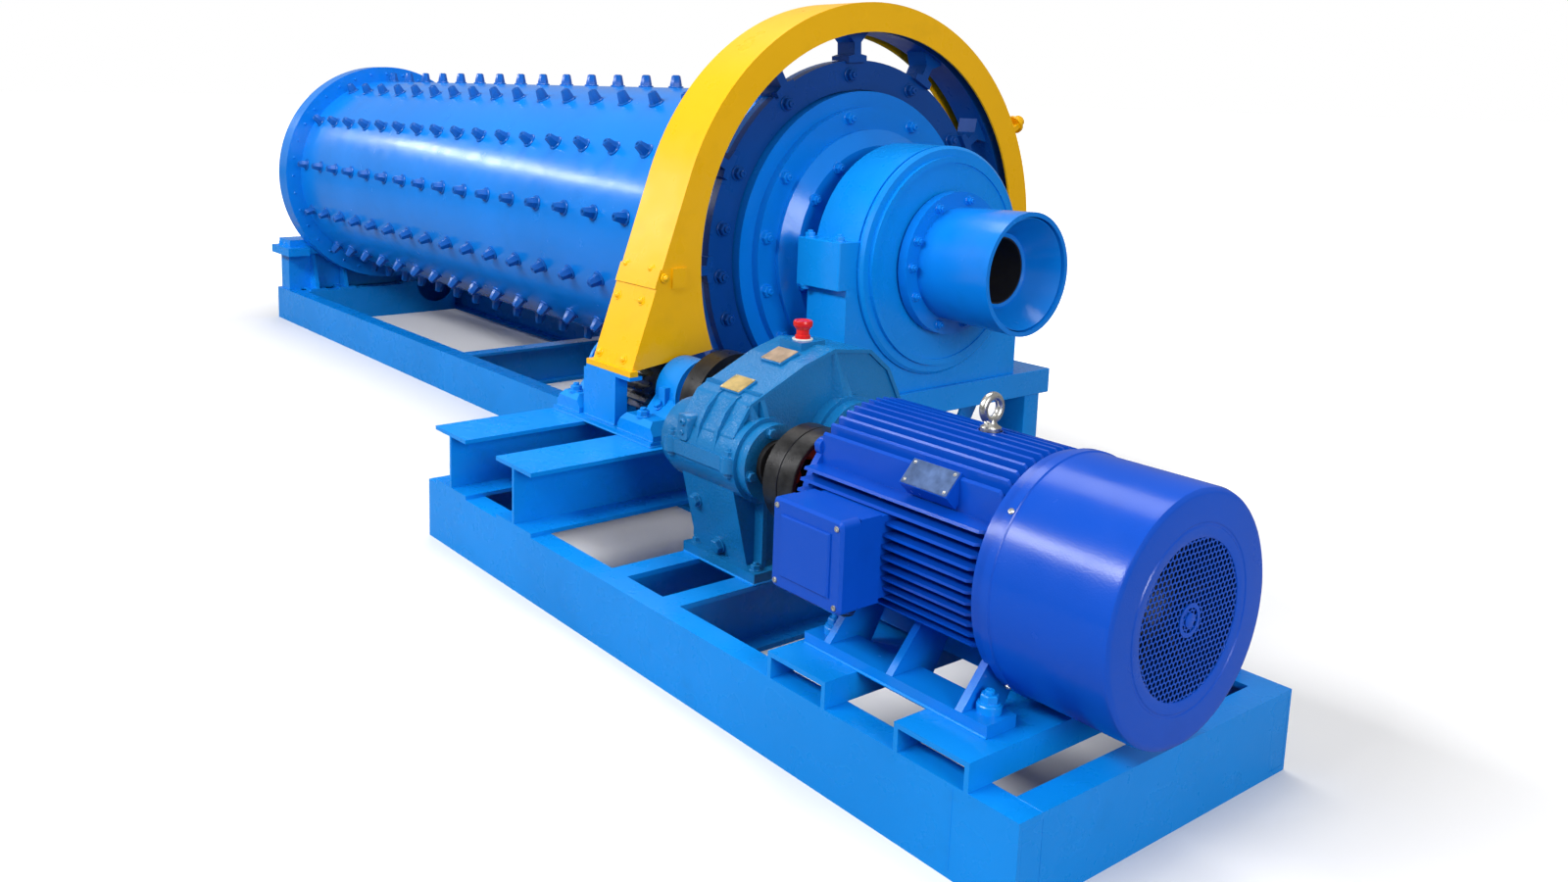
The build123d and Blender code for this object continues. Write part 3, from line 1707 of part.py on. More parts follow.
with BuildPart() as motor_frame:
    with BuildSketch(Plane.YZ.offset(motor_shield_end)):
        with Locations((motor_y, drive_height)):
            with GridLocations(motor_fin_pitch, 0, motor_top_fins, 1):
                Rectangle(
                    motor_fin_thickness,
                    motor_fin_radius,
                    align=(Align.CENTER, Align.MIN),
                )
            with GridLocations(motor_fin_pitch, 0, motor_bottom_fins, 1):
                Rectangle(
                    motor_fin_thickness,
                    motor_fin_radius,
                    align=(Align.CENTER, Align.MAX),
                )
            with GridLocations(0, motor_fin_pitch, 1, motor_side_fins):
                Rectangle(2 * motor_fin_radius, motor_fin_thickness)
            Circle(motor_fin_radius, mode=Mode.INTERSECT)
            Circle(motor_body_radius)
    extrude(amount=motor_fin_end - motor_shield_end)
    turned(
        [
            (motor_shield_end, 0),
            (motor_shield_end, fin_envelope),
            (motor_fin_end - motor_fin_corner, fin_envelope),
            (motor_fin_end, fin_envelope - motor_fin_corner),
            (motor_fin_end, 0),
        ],
        motor_y,
        drive_height,
        mode=Mode.INTERSECT,
    )
    disc(
        (motor_fin_end, motor_rear_end),
        (motor_y, drive_height),
        motor_fin_radius,
    )
    block(neck_x, (box_neck_y, motor_y - motor_body_radius / 2), neck_z)
    with BuildSketch(pad_plane):
        Rectangle(name_pad_length, name_pad_width)
    extrude(amount=name_pad_sink + name_pad_rise)
    with Locations((eye_bolt_x, motor_y, drive_height)):
        Cylinder(
            eye_boss_radius,
            motor_fin_radius,
            align=(Align.CENTER, Align.CENTER, Align.MIN),
        )
    for side in (-1, 1):
        low, high = sorted(
            (
                motor_y + side * motor_foot_inner_half,
                motor_y + side * motor_foot_outer_half,
            )
        )
        block(
            (motor_foot_start, motor_foot_end),
            (low, high),
            (support_top, motor_foot_top),
        )
        for share in motor_foot_web_share:
            middle = motor_foot_start + share * (motor_foot_end - motor_foot_start)
            outline_along_x(
                (middle - motor_foot_web / 2, middle + motor_foot_web / 2),
                [
                    (motor_y + side * motor_foot_outer_half, motor_foot_top),
                    (motor_y + side * motor_foot_outer_half, support_top),
                    (motor_y + side * motor_foot_top_half, support_top),
                    (motor_y + side * motor_foot_top_half / 2, motor_web_top),
                    (motor_y + side * motor_foot_inner_half, motor_web_top),
                ],
            )
    disc(
        (motor_start, cowl_end),
        (motor_y, drive_height),
        motor_bore,
        mode=Mode.SUBTRACT,
    )
save(motor_frame.part, "motor_frame", shell_end)

shield_radius = motor_fin_radius - motor_shield_inset
shield_lip_start = motor_shield_end - motor_shield_lip
with BuildPart() as motor_end_shield:
    turned(
        [
            (motor_start, motor_bore),
            (motor_start, motor_shield_front_radius),
            (shield_lip_start, shield_radius),
            (motor_shield_end, shield_radius),
            (motor_shield_end, motor_bore),
        ],
        motor_y,
        drive_height,
    )
    with BuildSketch(Plane.YZ.offset(shield_lip_start)):
        with Locations((motor_y, drive_height)):
            with PolarLocations(shield_radius, motor_ear_count, motor_ear_angle):
                Circle(motor_ear_radius)
    extrude(amount=motor_shield_lip)
save(motor_end_shield.part, "motor_end_shield", shell_end)

# Fan cowl with a band at its mouth, a pressed ring and a perforated end
hole_pitch = cowl_grille_radius / (cowl_grille_rings + cowl_hole_share)
with BuildPart() as motor_fan_cowl:
    disc(
        (cowl_start, cowl_end),
        (motor_y, drive_height),
        cowl_radius,
    )
    chamfer(
        motor_fan_cowl.edges().filter_by(GeomType.CIRCLE).sort_by(Axis.X)[-1],
        cowl_edge_radius / 2,
    )
    disc(
        (cowl_start, cowl_start + cowl_band_width),
        (motor_y, drive_height),
        cowl_radius + cowl_band_rise,
    )
    disc(
        (cowl_start - cut_overrun, cowl_end - cowl_end_sheet),
        (motor_y, drive_height),
        motor_fin_radius + seat_gap,
        mode=Mode.SUBTRACT,
    )
    disc(
        (cowl_end - cowl_groove_depth, cowl_end + cut_overrun),
        (motor_y, drive_height),
        cowl_groove_radius,
        cowl_groove_radius - cowl_groove_width,
        mode=Mode.SUBTRACT,
    )
    with BuildSketch(Plane.YZ.offset(cowl_end - cowl_end_sheet - cut_overrun)):
        with Locations((motor_y, drive_height)):
            for ring in range(1, cowl_grille_rings + 1):
                with PolarLocations(ring * hole_pitch, 6 * ring):
                    RegularPolygon(cowl_hole_share * hole_pitch, 6)
    extrude(amount=cowl_end_sheet + 2 * cut_overrun, mode=Mode.SUBTRACT)
save(motor_fan_cowl.part, "motor_fan_cowl", shell_end)

# Terminal box: body on the neck, lid with a groove and a raised panel, two glands
box_body_y = box_neck_y - box_body_depth
box_lid_back_y = box_body_y + box_lid_groove
box_lid_y = box_body_y - box_lid_depth
body_x = (box_start + box_lid_groove, box_end - box_lid_groove)
body_z = (box_bottom + box_lid_groove, box_top - box_lid_groove)
with BuildPart() as motor_terminal_box:
    block((box_start, box_end), (box_lid_y, box_body_y), (box_bottom, box_top))
    fillet(
        motor_terminal_box.edges().filter_by(Axis.Y),
        box_corner_radius,
    )
    chamfer(
        motor_terminal_box.faces().sort_by(Axis.Y)[0].edges(),
        box_lid_chamfer,
    )
    block(neck_x, (box_body_y, box_neck_y), neck_z)
    block(
        body_x,
        (box_lid_back_y, box_neck_y - box_lid_groove),
        body_z,
    )
    block(
        (box_start + box_panel_inset, box_end - box_panel_inset),
        (box_lid_y - box_panel_rise, box_lid_y),
        (box_bottom + box_panel_inset, box_top - box_panel_inset),
    )
    chamfer(
        motor_terminal_box.faces().sort_by(Axis.Y)[0].edges(),
        box_panel_rise / 2,
    )
    for share in gland_shares:
        gland_z = body_z[0] - gland_length
        gland_y = (box_body_y + box_neck_y) / 2
        with Locations((box_start + share * box_length, gland_y, gland_z)):
            Cylinder(
                gland_radius,
                gland_length + box_lid_groove,
                align=(Align.CENTER, Align.CENTER, Align.MIN),
            )
save(motor_terminal_box.part, "motor_terminal_box", shell_end)

# Lifting eye on the motor's boss
eye_base = drive_height + motor_fin_radius
with BuildPart() as motor_eye_bolt:
    with BuildSketch(Plane.YZ.offset(eye_bolt_x - eye_ring_thickness / 2)):
        with Locations((motor_y, eye_base + eye_ring_height)):
            Circle(eye_ring_radius)
            Circle(eye_ring_hole, mode=Mode.SUBTRACT)
    extrude(amount=eye_ring_thickness)
    chamfer(
        motor_eye_bolt.edges().filter_by(GeomType.CIRCLE),
        eye_ring_edge,
    )
    with Locations((eye_bolt_x, motor_y, eye_base)):
        Cylinder(
            eye_stem_radius,
            eye_stem_height,
            align=(Align.CENTER, Align.CENTER, Align.MIN),
        )
save(motor_eye_bolt.part, "motor_eye_bolt", shell_end)

# Two pressed channels under the motor feet
support_inner_top = support_top - support_sheet
with BuildPart() as motor_support_channels:
    for start, width in (
        (motor_foot_start - support_leads[0], support_widths[0]),
        (motor_foot_end - support_leads[1], support_widths[1]),
    ):
        outline_along_y(
            (skid_outer_y, skid_inner_y),
            [
                (start, frame_height),
                (start + support_sheet, frame_height),
                (start + support_sheet, support_inner_top),
                (start + width - support_sheet, support_inner_top),
                (start + width - support_sheet, frame_height),
                (start + width, frame_height),
                (start + width, support_top),
                (start, support_top),
            ],
        )
save(motor_support_channels.part, "motor_support_channels", shell_end)
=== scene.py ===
"""Looks of the ball mill: enamel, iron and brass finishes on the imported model,
the bolts, pins, ribs, welds and plates that the model leaves out, and finer
pieces that stand for six of its nodes.

X runs along the mill to the discharge end, the drive is on the -Y side and
the floor is Z = 0. Everything is in metres.
"""
import json
import math

import bpy
import numpy as np
from mathutils import Matrix


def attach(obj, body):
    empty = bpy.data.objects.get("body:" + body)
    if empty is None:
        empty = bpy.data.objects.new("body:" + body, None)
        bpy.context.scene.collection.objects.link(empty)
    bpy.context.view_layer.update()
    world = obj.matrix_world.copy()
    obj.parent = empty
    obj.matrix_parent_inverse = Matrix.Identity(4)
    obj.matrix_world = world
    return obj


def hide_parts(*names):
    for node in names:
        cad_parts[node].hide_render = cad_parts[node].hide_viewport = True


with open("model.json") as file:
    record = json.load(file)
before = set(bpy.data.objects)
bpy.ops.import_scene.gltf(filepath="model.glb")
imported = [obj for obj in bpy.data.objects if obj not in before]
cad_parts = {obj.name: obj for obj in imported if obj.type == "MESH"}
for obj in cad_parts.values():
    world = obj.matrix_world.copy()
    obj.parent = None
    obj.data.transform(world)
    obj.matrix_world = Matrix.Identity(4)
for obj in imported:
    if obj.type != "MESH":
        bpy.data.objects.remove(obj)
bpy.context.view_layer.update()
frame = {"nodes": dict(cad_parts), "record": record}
nodes = frame["nodes"]


# Places shared with the model
mill_axis = 0.736
shell_radius = 0.450
drive_axis = 0.415
pinion_y = -0.677834
motor_y = -0.919834
x_axis = (1.0, 0.0, 0.0)
x_back = (-1.0, 0.0, 0.0)
y_back = (0.0, -1.0, 0.0)
up = (0.0, 0.0, 1.0)
down = (0.0, 0.0, -1.0)

# Fineness of small forms
corner_points = 4
least_corner = 0.0005
hexagon = 6
stud_sides = 10
washer_sides = 16


# Surfaces
def lathe(profile, sides):
    """Turned form about Z: point (i, j) has the radius and height of profile
    row i, at the angle 2 pi j / sides. Flat caps close both ends."""
    profile = np.array(profile, float)
    angles = 2 * np.pi * np.arange(sides) / sides
    radii, heights = profile[:, :1], profile[:, 1:]
    points = np.stack(
        [radii * np.cos(angles), radii * np.sin(angles), heights + 0 * angles], -1
    )
    first = np.arange(sides)
    caps = [first[None, ::-1], first[None] + (len(profile) - 1) * sides]
    return points.reshape(-1, 3), [wrapped_quads(len(profile), sides), *caps]


def wrapped_quads(rows, columns):
    """Quads between neighbouring rows of points, closed round each row."""
    start = np.arange(rows - 1)[:, None] * columns + np.arange(columns)
    after = np.arange(rows - 1)[:, None] * columns + (np.arange(columns) + 1) % columns
    quads = np.stack([start, after, after + columns, start + columns], -1)
    return quads.reshape(-1, 4)


def tube_ring(profile, sides):
    """Closed ring about Z: a closed profile of (radius, height) corners, carried
    once round."""
    profile = np.array(profile, float)
    along = 2 * np.pi * np.arange(sides) / sides
    points = np.stack(
        [
            np.outer(np.cos(along), profile[:, 0]),
            np.outer(np.sin(along), profile[:, 0]),
            np.broadcast_to(profile[:, 1], (sides, len(profile))),
        ],
        -1,
    )
    quads = wrapped_quads(sides + 1, len(profile)) % (sides * len(profile))
    return points.reshape(-1, 3), [quads[:, ::-1]]


def circle_profile(major, minor, steps):
    """Corners of a circle of radius minor about the point (major, 0)."""
    around = 2 * np.pi * np.arange(steps) / steps
    return np.stack([major + minor * np.cos(around), minor * np.sin(around)], -1)


def rounded_outline(half_width, half_depth, corner):
    """Rectangle whose corners are quarter circles, as points run left about Z."""
    turns = np.pi / 2 * (np.arange(4)[:, None] + np.linspace(0, 1, corner_points))
    signs = np.array([(1, 1), (-1, 1), (-1, -1), (1, -1)], float)[:, None]
    centres = signs * (half_width - corner, half_depth - corner)
    return (centres + corner * np.stack([np.cos(turns), np.sin(turns)], -1)).reshape(-1, 2)


def slab(half_width, half_depth, corner, rows):
    """Rounded block about Z: at each (inset, height) row lies the rounded
    rectangle with its sides brought in by the inset."""
    layers = []
    for inset, height in rows:
        outline = rounded_outline(
            half_width - inset, half_depth - inset, max(corner - inset, least_corner)
        )
        layers.append(np.column_stack([outline, np.full(len(outline), height)]))
    count = len(layers[0])
    first = np.arange(count)
    caps = [first[None, ::-1], first[None] + (len(rows) - 1) * count]
    return np.concatenate(layers), [wrapped_quads(len(rows), count), *caps]


def plate_block(half_width, half_depth, height, corner=0.004, edge=0.0015):
    """Block from Z = 0 up, with rounded corners and a small bevel on top."""
    return slab(half_width, half_depth, corner, [(0, 0), (0, height - edge), (edge, height)])


def carried_along_x(outline, start, end):
    """Plate whose outline of (y, z) corners, run left about X, is carried from
    start to end along X."""
    outline = np.array(outline, float)
    count = len(outline)
    ends = [np.column_stack([np.full(count, x), outline]) for x in (start, end)]
    first = np.arange(count)
    caps = [first[None, ::-1], first[None] + count]
    return np.concatenate(ends), [wrapped_quads(2, count), *caps]


bead_valley, bead_ripple, bead_end = 0.82, 0.18, 0.5


def weld_bead(start, end, radius):
    """Bead from start to end: a six-sided tube whose radius swells once every
    two radii, as the ripples of a weld do, and is half as wide at its ends."""
    start, end = np.array(start, float), np.array(end, float)
    length = np.linalg.norm(end - start)
    rows = max(int(length / radius), 3)
    heights = np.linspace(0, length, rows)
    swell = radius * (bead_valley + bead_ripple * (np.arange(rows) % 2))
    swell[[0, -1]] *= bead_end
    return set_at(lathe(np.column_stack([swell, heights]), hexagon), [start], [end - start])


def joined(*surfaces):
    """Several surfaces as one, with the later faces counted on."""
    points, faces, count = [], [], 0
    for surface_points, surface_faces in surfaces:
        points.append(surface_points)
        faces += [f + count for f in surface_faces]
        count += len(surface_points)
    return np.concatenate(points), faces


def turned_to(axes):
    """Rotation matrices that carry Z to each axis; X goes to the horizontal
    direction across it, or to world X for an upright axis."""
    axes = np.atleast_2d(np.array(axes, float))
    axes = axes / np.linalg.norm(axes, axis=1, keepdims=True)
    across = np.cross(np.array(up), axes)
    upright = np.linalg.norm(across, axis=1) < 1e-6
    across[upright] = x_axis
    across = across / np.linalg.norm(across, axis=1, keepdims=True)
    return np.stack([across, np.cross(axes, across), axes], -1)


def set_at(surface, places, axes):
    """Copies of a surface at each place, with its Z along the axis there."""
    points, faces = surface
    places = np.atleast_2d(np.array(places, float))
    turns = np.broadcast_to(turned_to(axes), (len(places), 3, 3))
    moved = np.einsum("kij,pj->kpi", turns, points) + places[:, None]
    shifts = np.arange(len(places)) * len(points)
    copies = [
        (f[None] + shifts[:, None, None]).reshape(-1, f.shape[1]) for f in faces
    ]
    return moved.reshape(-1, 3), copies


def piece(name, surface, finish, body, sharp=35.0, stands_for=()):
    """Mesh object from a surface, with its finish, riding on a body. It may
    stand for nodes of the model."""
    points, faces = surface
    mesh = bpy.data.meshes.new(name)
    loops = np.concatenate([f.ravel() for f in faces]).astype(np.int32)
    totals = np.concatenate([np.full(len(f), f.shape[1]) for f in faces])
    starts = np.concatenate([[0], np.cumsum(totals)[:-1]])
    mesh.vertices.add(len(points))
    mesh.vertices.foreach_set("co", points.astype(np.float32).ravel())
    mesh.loops.add(len(loops))
    mesh.loops.foreach_set("vertex_index", loops)
    mesh.polygons.add(len(totals))
    mesh.polygons.foreach_set("loop_start", starts.astype(np.int32))
    mesh.polygons.foreach_set("loop_total", totals.astype(np.int32))
    mesh.update(calc_edges=True)
    mesh.validate()
    mesh.shade_smooth()
    mesh.set_sharp_from_angle(angle=math.radians(sharp))
    mesh.materials.append(finish)
    thing = bpy.data.objects.new(name, mesh)
    bpy.context.collection.objects.link(thing)
    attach(thing, body)
    if stands_for:
        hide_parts(*stands_for)


# Finishes
class Nodes:
    """Node tree of a new material, read in Object coordinates."""

    def __init__(self, name):
        self.material = bpy.data.materials.new(name)
        self.material.use_nodes = True
        self.tree = self.material.node_tree
        self.shader = self.tree.nodes["Principled BSDF"]
        self.where = self.tree.nodes.new("ShaderNodeTexCoord").outputs["Object"]

    def link(self, source, target):
        self.tree.links.new(source, target)

    def noise(self, scale, detail=3.0, rough=0.5, stretch=None):
        """Cloudy pattern with that many features a metre."""
        node = self.tree.nodes.new("ShaderNodeTexNoise")
        node.inputs["Scale"].default_value = scale
        node.inputs["Detail"].default_value = detail
        node.inputs["Roughness"].default_value = rough
        where = self.where
        if stretch:
            mapping = self.tree.nodes.new("ShaderNodeMapping")
            mapping.inputs["Scale"].default_value = stretch
            self.link(where, mapping.inputs["Vector"])
            where = mapping.outputs["Vector"]
        self.link(where, node.inputs["Vector"])
        return node.outputs["Fac"]

    def spread(self, source, low, high, start=0.3, end=0.7):
        """Pattern carried from start..end to low..high."""
        node = self.tree.nodes.new("ShaderNodeMapRange")
        self.link(source, node.inputs["Value"])
        for label, number in (
            ("From Min", start),
            ("From Max", end),
            ("To Min", low),
            ("To Max", high),
        ):
            node.inputs[label].default_value = number
        return node.outputs["Result"]

    def blend(self, share, first, second):
        """Mix of two colours, each a tuple or a node's output."""
        node = self.tree.nodes.new("ShaderNodeMix")
        node.data_type = "RGBA"
        self.link(share, node.inputs["Factor"])
        for number, value in ((6, first), (7, second)):
            if isinstance(value, tuple):
                node.inputs[number].default_value = (*value, 1.0)
            else:
                self.link(value, node.inputs[number])
        return node.outputs[2]

    def bump(self, heights, depth, after=None):
        """Small relief of that depth in metres."""
        node = self.tree.nodes.new("ShaderNodeBump")
        node.inputs["Strength"].default_value = 1.0
        node.inputs["Distance"].default_value = depth
        self.link(heights, node.inputs["Height"])
        if after:
            self.link(after, node.inputs["Normal"])
        return node.outputs["Normal"]


def shade(colour, factor):
    """The same colour, lighter or darker."""
    return tuple(min(1.0, channel * factor) for channel in colour)


# Paint: features a metre of its clouds, grime, uneven gloss and waves, then the
# share and shade of the grime, the depth of the waves and the bare gloss
cloud_scale, grime_scale, gloss_scale, wave_scale = 2.2, 9.0, 14.0, 6.0
grime_share, grime_shade = 0.28, 0.72
wave_depth = 0.0012
paint_specular = 0.30

# Worked metal: features a metre of its patches, uneven gloss and scratches
patch_scale, dull_scale, scratch_scale = 26.0, 60.0, 240.0
patch_shade = 0.6
scratch_depth = 0.00012

# Plastic and rubber: features a metre of their tint and grain
tint_scale, grain_scale = 40.0, 900.0
grain_depth = 0.00008


def enamel(name, colour, roughness, peel, peel_depth, coat=0.06, mottle=0.08, low=None):
    """Sprayed paint: orange peel, slight clouding and uneven gloss. A second
    colour may hold at the foot, and give way between two heights."""
    n = Nodes(name)
    clouds = n.noise(cloud_scale, detail=4.0)
    base = n.blend(
        n.spread(clouds, 0.0, 1.0), shade(colour, 1 - mottle), shade(colour, 1 + mottle)
    )
    grime = n.spread(n.noise(grime_scale, detail=6.0, rough=0.62), 0.0, grime_share, 0.56, 0.74)
    painted = n.blend(grime, base, shade(colour, grime_shade))
    if low:
        foot_colour, bottom, top = low
        parts = n.tree.nodes.new("ShaderNodeSeparateXYZ")
        n.link(n.where, parts.inputs[0])
        above = n.spread(parts.outputs["Z"], 0.0, 1.0, bottom, top)
        painted = n.blend(above, foot_colour, painted)
    n.link(painted, n.shader.inputs["Base Color"])
    n.link(
        n.spread(n.noise(gloss_scale, detail=5.0), roughness * 0.82, roughness * 1.25),
        n.shader.inputs["Roughness"],
    )
    ripple = n.bump(n.noise(peel, detail=1.0), peel_depth)
    waves = n.bump(n.noise(wave_scale, detail=1.0), wave_depth, ripple)
    n.link(waves, n.shader.inputs["Normal"])
    n.shader.inputs["Specular IOR Level"].default_value = paint_specular
    n.shader.inputs["Coat Weight"].default_value = coat
    n.shader.inputs["Coat Roughness"].default_value = roughness * 0.5
    return n.material


def bare_metal(name, colour, roughness, scratch, metallic=1.0):
    """Worked metal: fine scratches one way and dull patches."""
    n = Nodes(name)
    patches = n.spread(n.noise(patch_scale, detail=6.0, rough=0.6), 0.0, 1.0, 0.4, 0.66)
    n.link(
        n.blend(patches, colour, shade(colour, patch_shade)),
        n.shader.inputs["Base Color"],
    )
    n.shader.inputs["Metallic"].default_value = metallic
    n.link(
        n.spread(n.noise(dull_scale, detail=6.0), roughness * 0.75, roughness * 1.35),
        n.shader.inputs["Roughness"],
    )
    n.link(
        n.bump(n.noise(scratch_scale, detail=2.0, stretch=scratch), scratch_depth),
        n.shader.inputs["Normal"],
    )
    return n.material


def moulded(name, colour, roughness):
    """Moulded plastic or rubber with a fine grain."""
    n = Nodes(name)
    n.link(
        n.blend(
            n.spread(n.noise(tint_scale, detail=5.0), 0.0, 1.0),
            shade(colour, 0.8),
            shade(colour, 1.15),
        ),
        n.shader.inputs["Base Color"],
    )
    n.shader.inputs["Roughness"].default_value = roughness
    grain = n.bump(n.noise(grain_scale, detail=1.0), grain_depth)
    n.link(grain, n.shader.inputs["Normal"])
    return n.material


# Each paint has its colour, roughness, and the fineness and depth of its peel.
# The motor's feet, up to 240 mm, are lighter and blend into its blue by 310 mm.
motor_colour = (0.002, 0.070, 0.50)
foot_colour = (0.002, 0.190, 0.68)
frame_blue = enamel("frame_blue", (0.002, 0.245, 0.76), 0.28, 260.0, 0.00015)
drum_blue = enamel("drum_blue", (0.002, 0.200, 0.72), 0.22, 240.0, 0.00015, coat=0.12)
bolt_blue = enamel("bolt_blue", (0.003, 0.110, 0.46), 0.24, 260.0, 0.0002)
gear_navy = enamel("gear_navy", (0.002, 0.060, 0.29), 0.30, 260.0, 0.0002)
guard_yellow = enamel("guard_yellow", (0.90, 0.47, 0.001), 0.30, 300.0, 0.00012, mottle=0.03)
hammered_blue = enamel(
    "hammered_blue", (0.006, 0.155, 0.40), 0.24, 190.0, 0.0011, coat=0.2, mottle=0.18
)
motor_blue = enamel("motor_blue", motor_colour, 0.22, 330.0, 0.00015)
motor_body_blue = enamel(
    "motor_body_blue", motor_colour, 0.22, 330.0, 0.00015, low=(foot_colour, 0.240, 0.310)
)

# Each metal has its colour, roughness, the stretch of its scratches along X, Y
# and Z, and how metallic it is
black_iron = bare_metal("black_iron", (0.050, 0.050, 0.052), 0.34, (1.0, 1.0, 12.0), 0.8)
turned_steel = bare_metal("turned_steel", (0.40, 0.39, 0.37), 0.30, (14.0, 1.0, 1.0))
zinc = bare_metal("zinc", (0.74, 0.73, 0.69), 0.30, (2.0, 2.0, 2.0))
blued_plate = bare_metal("blued_plate", (0.10, 0.17, 0.36), 0.38, (1.0, 6.0, 1.0), 0.7)
brass_plate = bare_metal("brass_plate", (0.58, 0.43, 0.17), 0.42, (1.0, 8.0, 1.0), 0.6)
worn_plate = bare_metal("worn_plate", (0.46, 0.34, 0.24), 0.46, (1.0, 8.0, 1.0), 0.55)
red_primer = enamel("red_primer", (0.40, 0.045, 0.018), 0.30, 240.0, 0.0003)
cap_red = moulded("cap_red", (0.66, 0.010, 0.008), 0.24)
black_rubber = moulded("black_rubber", (0.016, 0.016, 0.016), 0.5)
pale_plastic = moulded("pale_plastic", (0.72, 0.72, 0.70), 0.4)

slot_finishes = {
    "blue_enamel": frame_blue,
    "navy_enamel": gear_navy,
    "yellow_enamel": guard_yellow,
    "hammered_blue": hammered_blue,
    "motor_blue": motor_blue,
    "red_plastic": cap_red,
    "black_plastic": black_rubber,
    "zinc": zinc,
    "machined_steel": turned_steel,
    "grey_iron": black_iron,
}
for entry in frame["record"]["subparts"]:
    thing = nodes[entry["node"]]
    thing.data.materials.clear()
    thing.data.materials.append(slot_finishes[entry["material_slot"]])
for node_name in ("drum_shell", "feed_head", "discharge_head", "discharge_trumpet"):
    nodes[node_name].data.materials[0] = drum_blue
nodes["motor_frame"].data.materials[0] = motor_body_blue
finish_slots = {finish.name: slot for slot, finish in slot_finishes.items()}
finish_slots["drum_blue"] = finish_slots["bolt_blue"] = "blue_enamel"


# Fasteners, each standing on Z = 0. Their rows of radius and height are in
# diameters or radii of the screw.
def stud_nut(stud):
    """Washer, chamfered nut and stud end with a centre mark, for a stud of that
    diameter."""
    washer = [(1.12, -0.1), (1.12, 0.16), (1.04, 0.22)]
    nut = [(0.92, 0.2), (0.92, 0.86), (0.80, 0.98)]
    end = [(0.50, 0.9), (0.50, 1.30), (0.42, 1.38), (0.20, 1.38), (0.16, 1.26)]
    return joined(
        lathe(np.array(washer) * stud, washer_sides),
        lathe(np.array(nut) * stud, hexagon),
        lathe(np.array(end) * stud, stud_sides),
    )


def hex_head(stud):
    """Washer and hexagon head with its chamfer, for a screw of that diameter."""
    washer = [(1.12, -0.1), (1.12, 0.16), (1.04, 0.2)]
    head = [(0.94, 0.18), (0.94, 0.78), (0.84, 0.9), (0.30, 0.93)]
    return joined(
        lathe(np.array(washer) * stud, washer_sides),
        lathe(np.array(head) * stud, hexagon),
    )


def dome_head(radius):
    """Thin flange and a round head on it, flat at the very top."""
    flat_from = 0.94
    turns = np.linspace(0, np.pi / 2 * flat_from, 5)
    dome = np.column_stack([0.66 * np.cos(turns), 0.16 + 0.62 * np.sin(turns)])
    flange = np.array([(1.0, -0.2), (1.0, 0.08), (0.9, 0.16)])
    return lathe(np.concatenate([flange, dome]) * radius, washer_sides)


def pan_screw(radius):
    """Low head with a socket."""
    rows = [(1.0, -0.2), (1.0, 0.35), (0.8, 0.6), (0.42, 0.62), (0.36, 0.3)]
    return lathe(np.array(rows) * radius, 14)


def circle_places(x, radius, angles, centre_y=0.0, centre_z=mill_axis):
    """Points on a circle about an axis along X, at angles in degrees."""
    turns = np.radians(np.array(angles, float))
    return np.stack(
        [
            np.full_like(turns, x),
            centre_y + radius * np.cos(turns),
            centre_z + radius * np.sin(turns),
        ],
        -1,
    )


def grid_places(xs, ys, zs):
    """Every combination of the given X, Y and Z places."""
    return np.stack(np.meshgrid(xs, ys, zs, indexing="ij"), -1).reshape(-1, 3)


def mirrored(places):
    """The places, and the same places on the other side of the mill's axis."""
    places = np.array(places, float)
    return np.concatenate([places, places * (1, -1, 1)])


# Liner bolts: a flange, a tapered hexagon and a drilled stud end, in rows that
# follow the studs of the model's shell
liner_rows = 13
liner_row_turn = 145.2
liner_first = 0.355
liner_pitch = 0.178
liner_columns = 18
liner_bolt = joined(
    lathe([(0.0265, -0.004), (0.0265, 0.0030), (0.0240, 0.0050)], 14),
    lathe([(0.0215, 0.0), (0.0205, 0.0110), (0.0150, 0.0390), (0.0138, 0.0405)], hexagon),
    lathe([(0.0110, 0.040), (0.0110, 0.0425), (0.0060, 0.0425), (0.0052, 0.0405)], 8),
)
row_angles = np.radians(liner_row_turn + 360.0 * np.arange(liner_rows) / liner_rows)
row_out = np.stack([0 * row_angles, np.cos(row_angles), np.sin(row_angles)], -1)
bolt_axes = np.repeat(row_out, liner_columns, axis=0)
bolt_places = bolt_axes * shell_radius + np.array((0, 0, mill_axis))
bolt_places[:, 0] += np.tile(liner_first + liner_pitch * np.arange(liner_columns), liner_rows)
piece("liner_bolts", set_at(liner_bolt, bolt_places, bolt_axes), bolt_blue, "drum")

# Drum: bolts of the gear's hub flange, of the head and of the trumpet, and the
# small screws round the feed flange. Each circle is the X of its face and its
# radius, and each list its angles in degrees.
hub_circle = (3.559, 0.499)
head_circle = (3.608, 0.386)
inner_circle = (3.650, 0.289)
trumpet_circle = (3.952, 0.1715)
feed_circle = (0.278, 0.487)
hub_angles = [38, 66, 95, 124, 153, 171, 186, 200, *range(215, 360, 15), 5, 21]
head_angles = [65, 103, 146, 172, 194, 216, 240, 265, 290, 315, 340, 5, 33]
trumpet_angles = [78, 118, 156, 180, 207, 251, 285, 318, 350, 22, 50]
inner_angles = [28, 76, 124, 147.5, 172, 196, 222, 260, 300, 340]
piece(
    "hub_flange_bolts",
    set_at(stud_nut(0.019), circle_places(*hub_circle, hub_angles), [x_axis]),
    gear_navy,
    "drum",
)
piece(
    "discharge_head_bolts",
    joined(
        set_at(stud_nut(0.019), circle_places(*head_circle, head_angles), [x_axis]),
        set_at(stud_nut(0.016), circle_places(*inner_circle, inner_angles), [x_axis]),
    ),
    drum_blue,
    "drum",
)
